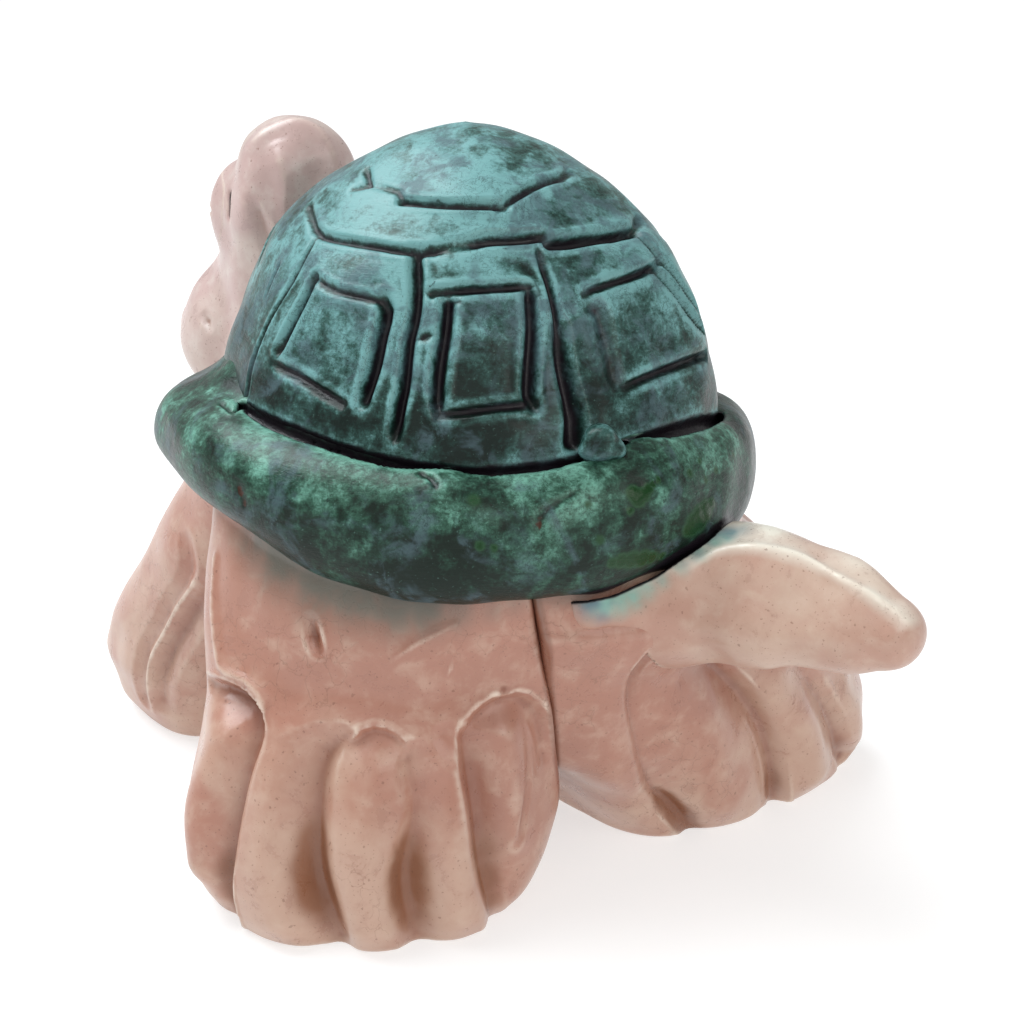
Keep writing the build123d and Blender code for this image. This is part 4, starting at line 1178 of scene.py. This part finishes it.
def clay_marks(lines, teal=(), smoke=(), gap=False, slit=None, pale=None, seam=False):
    """What the peach glaze shows: creases with painted shade, the green that ran out under the rim, the gap under the
    rim painted black as shadow, rosy painted shade and the tail top's painted highlight.
    """

    def marks(P, N):
        zero = np.zeros_like(P[0])
        d = np.clip(rim_shape(P), 0.0, 30.0)
        run = 1.0 + 0.5 * waves(P, 101, 3.0)
        edge = 0.55 * np.exp(-((d / (1.2 * np.clip(run, 0.4, 2.0))) ** 2))
        wash = np.maximum(0.5 * edge, spots(P, smoke) * np.exp(-d / 9.0)) if len(smoke) else edge
        out = {"crease": pressed(P, lines)[1] if lines else zero, "wash": wash, "teal": spots(P, teal) if len(teal) else zero}
        # painted shadow line along the seam where the rear legs meet
        if seam:
            out["crease"] = np.maximum(out["crease"], np.exp(-((np.clip(np.abs(seam_side(P)) - 0.3, 0, 9) / 0.7) ** 2)))
        # painted shadow in the narrow gap between the tail and the rim
        out["mark"] = np.exp(-((np.clip(d - 0.5, 0.0, 9.0) / 0.4) ** 2)) if gap else zero
        if slit:
            out["mark"] = np.maximum(out["mark"], np.clip(1.7 * pressed(P, slit)[1], 0.0, 1.0))
        out["pale"] = pale(P) if pale else zero
        # painted shade at the rosy spots; brown glaze with painted shade deep in the creases
        out["rosy"] = spots(P, ROSY_SHADE)
        out["stain"] = spots(P, STAIN_AND_SHADE) * np.clip(1.6 * out["crease"], 0.0, 1.0)
        out["root"] = np.clip((34.0 - P[0] * RIGHT[0] - P[1] * RIGHT[1]) / 13.0, 0.0, 1.0) if gap else zero
        return out

    return marks


# ------------------------------------------------------------------ glazes
def new_mat(name):
    m = bpy.data.materials.new(name)
    m.use_nodes = True
    nt = m.node_tree
    return m, nt, nt.nodes["Principled BSDF"]


def put(nt, kind, ins=None, **props):
    n = nt.nodes.new(kind)
    for k, v in props.items():
        setattr(n, k, v)
    for k, v in (ins or {}).items():
        if isinstance(v, bpy.types.NodeSocket):
            nt.links.new(v, n.inputs[k])
        else:
            n.inputs[k].default_value = v
    return n


def place(nt, shift=(0.0, 0.0, 0.0), stretch=(1.0, 1.0, 1.0), turn=(0.0, 0.0, 0.0)):
    """Where a point of the piece is, in millimetres."""
    o = put(nt, "ShaderNodeTexCoord").outputs["Object"]
    m = put(nt, "ShaderNodeMapping", {"Vector": o, "Location": shift, "Rotation": turn, "Scale": tuple(1000.0 * k for k in stretch)})
    return m.outputs["Vector"]


def noise(nt, vec, scale, detail=4.0, rough=0.55, bend=0.0):
    return put(nt, "ShaderNodeTexNoise", {"Vector": vec, "Scale": scale, "Detail": detail, "Roughness": rough, "Distortion": bend}).outputs["Fac"]


def ramp(nt, fac, stops, ease="LINEAR"):
    n = put(nt, "ShaderNodeValToRGB", {"Fac": fac})
    n.color_ramp.interpolation = ease
    e = n.color_ramp.elements
    while len(e) < len(stops):
        e.new(0.5)
    for el, (at, col) in zip(e, stops):
        el.position = at
        el.color = (*col, 1) if len(col) == 3 else col
    return n.outputs["Color"]


def span(nt, v, a, b, lo=0.0, hi=1.0):
    return put(nt, "ShaderNodeMapRange", {"Value": v, "From Min": a, "From Max": b, "To Min": lo, "To Max": hi}, interpolation_type="SMOOTHSTEP").outputs["Result"]


def calc(nt, op, a, b=0.5):
    return put(nt, "ShaderNodeMath", {0: a, 1: b}, operation=op).outputs[0]


def mix(nt, fac, a, b, kind="MIX"):
    n = put(nt, "ShaderNodeMix", data_type="RGBA", blend_type=kind)
    for sock, v in ((n.inputs["Factor"], fac), (n.inputs[6], a), (n.inputs[7], b)):
        if isinstance(v, bpy.types.NodeSocket):
            nt.links.new(v, sock)
        else:
            sock.default_value = v if isinstance(v, float) else (*v, 1)
    return n.outputs[2]


def attr(nt, name):
    return put(nt, "ShaderNodeAttribute", attribute_name=name, attribute_type="GEOMETRY").outputs["Fac"]


def bump(nt, height, strength, far, normal=None):
    ins = {"Height": height, "Strength": strength, "Distance": far}
    if normal is not None:
        ins["Normal"] = normal
    return put(nt, "ShaderNodeBump", ins).outputs["Normal"]


DARK_GREEN, DEEP_GREEN, MID_GREEN, MINT = (0.003, 0.011, 0.008), (0.011, 0.036, 0.029), (0.034, 0.094, 0.080), (0.150, 0.335, 0.325)
BLUE_GREY, PLUM_POOL_AND_SHADE = (0.058, 0.098, 0.115), (0.010, 0.006, 0.010)


def green_glaze(name, shift, cool, low, high, z_low, z_high, blue_share):
    """Copper green that breaks dark in pools and mint where it runs thin, with painted highlight on ridges and high up
    and painted shade in hollows, grooves and low down.
    """
    m, nt, b = new_mat(name)
    P = place(nt, shift)
    broad = noise(nt, P, 0.075, 3.0, 0.55, 0.6)
    cloud = noise(nt, P, 0.30, 6.0, 0.66, 0.4)
    grain = noise(nt, P, 1.5, 4.0, 0.7)
    streak = noise(nt, place(nt, shift, (0.35, 0.35, 1.6), (0.5, 0.35, 0.2)), 1.1, 4.0, 0.65, 0.5)
    tone = calc(nt, "ADD", calc(nt, "MULTIPLY", broad, 0.55), calc(nt, "MULTIPLY", cloud, 0.45))
    tone = calc(nt, "ADD", 0.5, calc(nt, "MULTIPLY", calc(nt, "SUBTRACT", tone, 0.5), 2.0))
    tone = calc(nt, "ADD", tone, calc(nt, "MULTIPLY", calc(nt, "SUBTRACT", noise(nt, P, 0.7, 4.0, 0.7, 0.6), 0.5), 0.42))
    tone = calc(nt, "ADD", tone, calc(nt, "MULTIPLY", calc(nt, "SUBTRACT", grain, 0.5), 0.40))
    tone = calc(nt, "ADD", tone, calc(nt, "MULTIPLY", calc(nt, "SUBTRACT", streak, 0.5), 0.24))
    # the tone spots: painted highlight and painted shade on the dome, and a painted highlight on the rim's crest
    tone = calc(nt, "ADD", tone, calc(nt, "MULTIPLY", attr(nt, "tone"), 0.17))
    ridge, hollow = attr(nt, "ridge"), attr(nt, "broad")
    # painted light over the glaze breaking thin on ridges and pooling in hollows: ridges and groove lips paler as a
    # painted highlight, fine creases and broad hollows darker as painted shade
    tone = calc(nt, "ADD", tone, span(nt, ridge, -0.10, 0.13, -0.12, 0.24))
    tone = calc(nt, "ADD", tone, span(nt, hollow, -0.6, 0.6, -0.10, 0.08))
    # darker low down and paler high up: painted shade below and painted light on top, over glaze that runs thinner high
    # up
    height = put(nt, "ShaderNodeSeparateXYZ", {"Vector": place(nt)}).outputs["Z"]
    tone = calc(nt, "ADD", tone, span(nt, height, z_low, z_high, low, high))
    steps = ((0.28, DARK_GREEN), (0.43, DEEP_GREEN), (0.57, MID_GREEN), (0.82, MINT))
    col = ramp(nt, tone, [(at, (c[0] * (0.6 + 0.4 * blue_share), c[1], c[2] * blue_share)) for at, c in steps])
    blue = calc(nt, "MULTIPLY", span(nt, noise(nt, place(nt, (shift[0] + 31, shift[1], shift[2])), 0.095, 4.0, 0.6, 0.8), 0.48 - cool, 0.62 - cool), span(nt, cloud, 0.38, 0.56))
    col = mix(nt, calc(nt, "MULTIPLY", blue, 0.75), col, BLUE_GREY)
    # small dark pits and pale grains in the glaze
    pits = span(nt, noise(nt, P, 0.85, 5.0, 0.75, 0.3), 0.38, 0.28)
    col = mix(nt, calc(nt, "MULTIPLY", pits, 0.8), col, DARK_GREEN)
    pale = span(nt, noise(nt, place(nt, (7, 3, 9)), 1.9, 3.0, 0.6), 0.64, 0.74)
    col = mix(nt, calc(nt, "MULTIPLY", pale, 0.30), col, (0.16, 0.33, 0.28))
    # hair-thin dark veins, in patches
    vein = calc(nt, "ABSOLUTE", calc(nt, "SUBTRACT", noise(nt, place(nt, (11, 5, 2)), 0.42, 6.0, 0.72, 0.5), 0.5))
    vein = calc(nt, "MULTIPLY", span(nt, vein, 0.016, 0.003), span(nt, broad, 0.40, 0.60))
    col = mix(nt, calc(nt, "MULTIPLY", vein, 0.60), col, DARK_GREEN)
    # grooves, crevice and gaps plum-black: glaze pooled there, with painted shade
    mark = calc(nt, "MULTIPLY", attr(nt, "mark"), span(nt, noise(nt, place(nt, (2, 23, 8)), 0.45, 4.0, 0.65), 0.3, 0.7, 0.72, 1.12))
    col = mix(nt, span(nt, mark, 0.30, 0.86, 0.0, 0.94), col, PLUM_POOL_AND_SHADE)
    pool = attr(nt, "pool")
    col = mix(nt, span(nt, pool, 0.05, 0.32), col, (0.016, 0.060, 0.024))
    col = mix(nt, span(nt, pool, 0.25, 0.55), col, (0.004, 0.036, 0.006))
    col = mix(nt, span(nt, attr(nt, "rust"), 0.3, 0.6), col, (0.040, 0.012, 0.004))
    nt.links.new(col, b.inputs["Base Color"])
    rough = calc(nt, "ADD", span(nt, cloud, 0.3, 0.7, 0.30, 0.46), span(nt, pool, 0.2, 0.6, 0.0, -0.24))
    nt.links.new(rough, b.inputs["Roughness"])
    b.inputs["IOR"].default_value = 1.28
    b.inputs["Coat Weight"].default_value = 0.16
    b.inputs["Coat Roughness"].default_value = 0.22
    n = bump(nt, streak, 0.45, 0.0003)
    n = bump(nt, grain, 0.30, 0.00012, n)
    n = bump(nt, cloud, 0.35, 0.0005, n)
    nt.links.new(n, b.inputs["Normal"])
    return m


CREAM_AND_HIGHLIGHT = (0.760, 0.640, 0.530)


def peach_glaze(name, shift, base, rose, rosy, craze):
    """Warm clear glaze over pale clay: rosy where it lies heavy and where shade is painted, cream on the ridges with a
    painted highlight, specked and crazed.
    """
    m, nt, b = new_mat(name)
    P = place(nt, shift)
    broad = noise(nt, P, 0.055, 3.0, 0.5, 0.5)
    cloud = noise(nt, P, 0.24, 5.0, 0.6, 0.3)
    grain = noise(nt, P, 1.7, 3.0, 0.6)
    ridge, hollow = attr(nt, "ridge"), attr(nt, "broad")

    def shade(c, k):
        return tuple(k * v for v in c)

    height = put(nt, "ShaderNodeSeparateXYZ", {"Vector": place(nt)}).outputs["Z"]
    # rosier higher up the legs under the rim and at the rosy spots, which is painted shade; the broad noise is the
    # glaze's own unevenness
    rose_glaze_and_shade = calc(nt, "ADD", calc(nt, "ADD", broad, span(nt, height, 6.0, 48.0, -0.10, 0.12)), calc(nt, "MULTIPLY", attr(nt, "rosy"), 0.30))
    col = mix(nt, span(nt, rose_glaze_and_shade, 0.36 - rosy, 0.66 - rosy), base, rose)
    col = mix(nt, calc(nt, "MULTIPLY", attr(nt, "rosy"), 0.58), col, shade(rose, 0.86))
    col = mix(nt, calc(nt, "MULTIPLY", span(nt, cloud, 0.46, 0.72), 0.40), col, (base[0] * 1.15, base[1] * 1.28, base[2] * 1.32))
    col = mix(nt, calc(nt, "MULTIPLY", span(nt, cloud, 0.48, 0.28), 0.45), col, shade(rose, 0.82))
    # painted shade in hollows and fine creases and a painted highlight on bulges and ridges, over glaze lying heavier
    # in hollows and thinner on ridges
    col = mix(nt, span(nt, hollow, -0.06, -0.70, 0.0, 0.80), col, (rose[0] * 0.74, rose[1] * 0.64, rose[2] * 0.56))
    col = mix(nt, span(nt, ridge, -0.03, -0.16, 0.0, 0.60), col, (rose[0] * 0.56, rose[1] * 0.42, rose[2] * 0.34))
    col = mix(nt, span(nt, hollow, 0.12, 0.9, 0.0, 0.60), col, (base[0] * 1.18, base[1] * 1.32, base[2] * 1.36))
    col = mix(nt, span(nt, ridge, 0.025, 0.16, 0.0, 0.75), col, CREAM_AND_HIGHLIGHT)
    # warm painted shade in pressed creases and along the rear legs' seam
    col = mix(nt, span(nt, attr(nt, "crease"), 0.25, 1.05, 0.0, 0.80), col, (rose[0] * 0.52, rose[1] * 0.34, rose[2] * 0.24))
    # iron-brown glaze deep between the toes, with painted shade
    col = mix(nt, span(nt, attr(nt, "stain"), 0.08, 0.52, 0.0, 0.78), col, (0.235, 0.088, 0.038))
    # painted highlight on the tail's upper facet, over paler glaze
    col = mix(nt, calc(nt, "MULTIPLY", attr(nt, "pale"), span(nt, cloud, 0.25, 0.6, 0.55, 0.95)), col, (0.800, 0.770, 0.670))
    # the tail's root is as rosy as the leg it is smeared on
    col = mix(nt, calc(nt, "MULTIPLY", attr(nt, "root"), 0.85), col, (0.430, 0.228, 0.168))
    # iron specks in the clay
    for k, (scale, least, size, dark) in enumerate(((1.0, 0.52, 0.22, 0.46), (2.3, 0.45, 0.27, 0.40), (0.45, 0.80, 0.15, 0.42))):
        wob = put(nt, "ShaderNodeVectorMath", {0: place(nt, (shift[0] + 3.1 * k, shift[1], shift[2] + 1.7 * k)), 1: put(nt, "ShaderNodeVectorMath", {0: put(nt, "ShaderNodeTexNoise", {"Vector": P, "Scale": 2.2 * scale, "Detail": 2.0}).outputs["Color"], "Scale": 0.55 / scale}, operation="SCALE").outputs[0]}, operation="ADD").outputs[0]
        cell = put(nt, "ShaderNodeTexVoronoi", {"Vector": wob, "Scale": scale, "Randomness": 1.0}, feature="F1")
        own = put(nt, "ShaderNodeSeparateColor", {"Color": cell.outputs["Color"]}).outputs[k]
        speck = span(nt, calc(nt, "SUBTRACT", span(nt, own, least, 1.0, 0.0, size), cell.outputs["Distance"]), 0.0, 0.05)
        col = mix(nt, calc(nt, "MULTIPLY", speck, dark), col, (0.170, 0.070, 0.040))
    # crazing: fine bent cracks, in patches
    bent = put(nt, "ShaderNodeVectorMath", {0: place(nt, shift, (1.0, 0.55, 0.8), (0.4, 0.2, 0.7)), 1: put(nt, "ShaderNodeVectorMath", {0: put(nt, "ShaderNodeTexNoise", {"Vector": P, "Scale": 0.30, "Detail": 3.0}).outputs["Color"], "Scale": 4.0}, operation="SCALE").outputs[0]}, operation="ADD").outputs[0]
    web = put(nt, "ShaderNodeTexVoronoi", {"Vector": bent, "Scale": 0.30, "Randomness": 1.0}, feature="DISTANCE_TO_EDGE").outputs["Distance"]
    line = span(nt, web, 0.020, 0.004)
    patch = span(nt, noise(nt, place(nt, (shift[2], shift[0], 13.0)), 0.045, 2.0, 0.5), 0.54 - craze, 0.66 - craze)
    line = calc(nt, "MULTIPLY", line, patch)
    col = mix(nt, calc(nt, "MULTIPLY", line, 0.36), col, (0.230, 0.110, 0.065))
    # the shell's green where it ran out under the rim
    wash = calc(nt, "MULTIPLY", attr(nt, "wash"), span(nt, cloud, 0.2, 0.8, 0.8, 1.2))
    col = mix(nt, span(nt, wash, 0.05, 0.95, 0.0, 0.88), col, (0.085, 0.100, 0.082))
    teal = calc(nt, "MULTIPLY", attr(nt, "teal"), span(nt, cloud, 0.3, 0.7, 0.78, 1.12))
    col = mix(nt, span(nt, teal, 0.10, 1.05, 0.0, 0.90), col, ramp(nt, noise(nt, P, 0.16, 2.0), [(0.40, (0.085, 0.190, 0.230)), (0.60, (0.190, 0.410, 0.350))]))
    # black: the eyes' slits, and painted shadow in the gap under the rim
    col = mix(nt, span(nt, attr(nt, "mark"), 0.3, 0.7), col, (0.010, 0.008, 0.010))
    nt.links.new(col, b.inputs["Base Color"])
    nt.links.new(span(nt, cloud, 0.3, 0.7, 0.26, 0.40), b.inputs["Roughness"])
    b.inputs["IOR"].default_value = 1.48
    b.inputs["Coat Weight"].default_value = 0.18
    b.inputs["Coat Roughness"].default_value = 0.20
    n = bump(nt, cloud, 0.25, 0.0004)
    n = bump(nt, grain, 0.16, 0.0001, n)
    n = bump(nt, calc(nt, "MULTIPLY", line, -1.0), 0.35, 0.00012, n)
    nt.links.new(n, b.inputs["Normal"])
    return m


M_DOME = green_glaze("dome_glaze_look", (0.0, 0.0, 0.0), 0.02, -0.14, 0.19, 66.0, 108.0, 1.04)
M_RIM = green_glaze("rim_glaze_look", (41.0, 13.0, 7.0), -0.02, -0.30, -0.06, 53.0, 73.0, 0.80)
M_PEACH = peach_glaze("leg_glaze_look", (0.0, 0.0, 0.0), (0.505, 0.322, 0.242), (0.412, 0.196, 0.140), 0.02, 0.07)
M_TAIL = peach_glaze("tail_glaze_look", (19.0, 3.0, 11.0), (0.520, 0.360, 0.280), (0.450, 0.262, 0.198), -0.05, -0.06)
M_HEAD = peach_glaze("head_glaze_look", (5.0, 29.0, 2.0), (0.590, 0.480, 0.420), (0.520, 0.362, 0.335), -0.02, -0.06)

H = 0.45
make_dome(M_DOME)
make_piece("shell_rim_look", shell_rim, (-54, -54, 46), (54, 54, 79), 0.56, "shell_rim", M_RIM, rim_marks)
make_piece("shell_pellet_look", shell_pellet, tuple(PELLET - 6.0), tuple(PELLET + 6.0), 0.3, "shell_pellet", M_DOME, pellet_marks)
make_piece("belly_bowl_look", belly_bowl, (-44, -44, 22), (44, 44, 62), 0.9, "belly_bowl", M_PEACH, clay_marks(None))
make_piece("rear_left_leg_look", rear_left_leg, (-8, -19, -4), (60, 48, 66), H, "rear_left_leg", M_PEACH, clay_marks(RL_LINES, smoke=SMOKE, seam=True))
make_piece("rear_right_leg_look", rear_right_leg, (-72, -19, -4), (18, 48, 66), H, "rear_right_leg", M_PEACH, clay_marks(RR_LINES, seam=True))
make_piece("front_left_leg_look", front_left_leg, (-3, -80, -4), (45, -8, 66), H, "front_left_leg", M_PEACH, clay_marks(FL_LINES))
make_piece("front_right_leg_look", front_right_leg, (-45, -80, -4), (3, -8, 66), H, "front_right_leg", M_PEACH, clay_marks(FR_LINES))
make_piece("tail_look", tail, (-38, 12, 28), (16, 80, 66), H, "tail", M_TAIL, clay_marks(TAIL_LINES, teal=TEAL, gap=True, pale=tail_top_highlight))
make_piece("head_look", head, (-18, -86, 26), (18, -20, 112), H, "head", M_HEAD, clay_marks(HEAD_LINES + FOLDS, slit=SLITS))
make_piece("left_eye_look", left_eye, (-3, -76, 78), (15, -54, 102), 0.4, "left_eye", M_HEAD, clay_marks(HEAD_LINES + FOLDS, slit=SLITS))
make_piece("right_eye_look", right_eye, (-15, -76, 78), (3, -54, 102), 0.4, "right_eye", M_HEAD, clay_marks(HEAD_LINES + FOLDS, slit=SLITS))


# ------------------------------------------------------------------ floor, light, camera
def area(name, loc, aim, size, power, col=(1, 1, 1)):
    l = bpy.data.lights.new(name, "AREA")
    l.shape = "DISK"
    l.size = size
    l.energy = power
    l.color = col
    o = bpy.data.objects.new(name, l)
    o.location = loc
    o.rotation_euler = (Vector(aim) - Vector(loc)).to_track_quat("-Z", "Y").to_euler()
    bpy.context.scene.collection.objects.link(o)
    return o


def quad(name, pts, mat):
    me = bpy.data.meshes.new(name)
    me.from_pydata(pts, [], [(0, 1, 2, 3)])
    me.update()
    o = bpy.data.objects.new(name, me)
    bpy.context.scene.collection.objects.link(o)
    me.materials.append(mat)
    return o


def floor_paper():
    """Matt white paper with a faint tooth."""
    m, nt, b = new_mat("floor_paper")
    P = place(nt)
    tone = noise(nt, P, 0.02, 3.0, 0.5)
    nt.links.new(ramp(nt, tone, [(0.3, (0.43, 0.43, 0.43)), (0.7, (0.46, 0.46, 0.46))]), b.inputs["Base Color"])
    b.inputs["Roughness"].default_value = 0.85
    # a lit table, so that it stays white all round
    b.inputs["Emission Color"].default_value = (1.0, 1.0, 1.0, 1)
    b.inputs["Emission Strength"].default_value = 0.62
    nt.links.new(bump(nt, noise(nt, P, 1.2, 3.0), 0.08, 0.0001), b.inputs["Normal"])
    return m


quad("floor", [(-6, -6, 0), (6, -6, 0), (6, 6, 0), (-6, 6, 0)], floor_paper())

world = bpy.data.worlds.new("studio")
world.use_nodes = True
bg = world.node_tree.nodes["Background"]
bg.inputs[0].default_value = (1.0, 1.0, 1.0, 1)
bg.inputs[1].default_value = 0.44
bpy.context.scene.world = world
bpy.context.scene.view_settings.view_transform = "Standard"

away, right, up, look = Vector(AWAY), Vector(RIGHT), Vector(UP), Vector(AHEAD)
eye_pt = Vector(STAND) * MM + Vector((SHELL_X, SHELL_Y, 0)) * MM
mid = Vector((SHELL_X * MM, 0, 0.055))
sun = bpy.data.lights.new("sun", "SUN")
sun.energy = 1.5
sun.angle = math.radians(45.0)
so = bpy.data.objects.new("sun", sun)
so.rotation_euler = (-0.10 * away + 0.50 * right - 1.0 * up).to_track_quat("-Z", "Y").to_euler()
bpy.context.scene.collection.objects.link(so)
area("key", mid + 0.16 * away - 0.30 * right + 0.56 * up, mid, 0.60, 3.4, (0.82, 0.94, 1.0))
area("front", mid - 0.62 * away - 0.12 * right + 0.42 * up, mid, 0.6, 0.5, (1.0, 0.98, 0.96))
area("fill", mid - 0.55 * away + 0.45 * right + 0.35 * up, mid, 0.5, 1.5, (1.0, 0.97, 0.93))

cam = bpy.data.cameras.new("camera")
cam.sensor_width = 36.0
cam.lens = 36.0 * FOCUS / 1024.0
cam.clip_start = 0.01
co = bpy.data.objects.new("camera", cam)
co.location = eye_pt
co.rotation_euler = look.to_track_quat("-Z", "Y").to_euler()
bpy.context.scene.collection.objects.link(co)
bpy.context.scene.camera = co
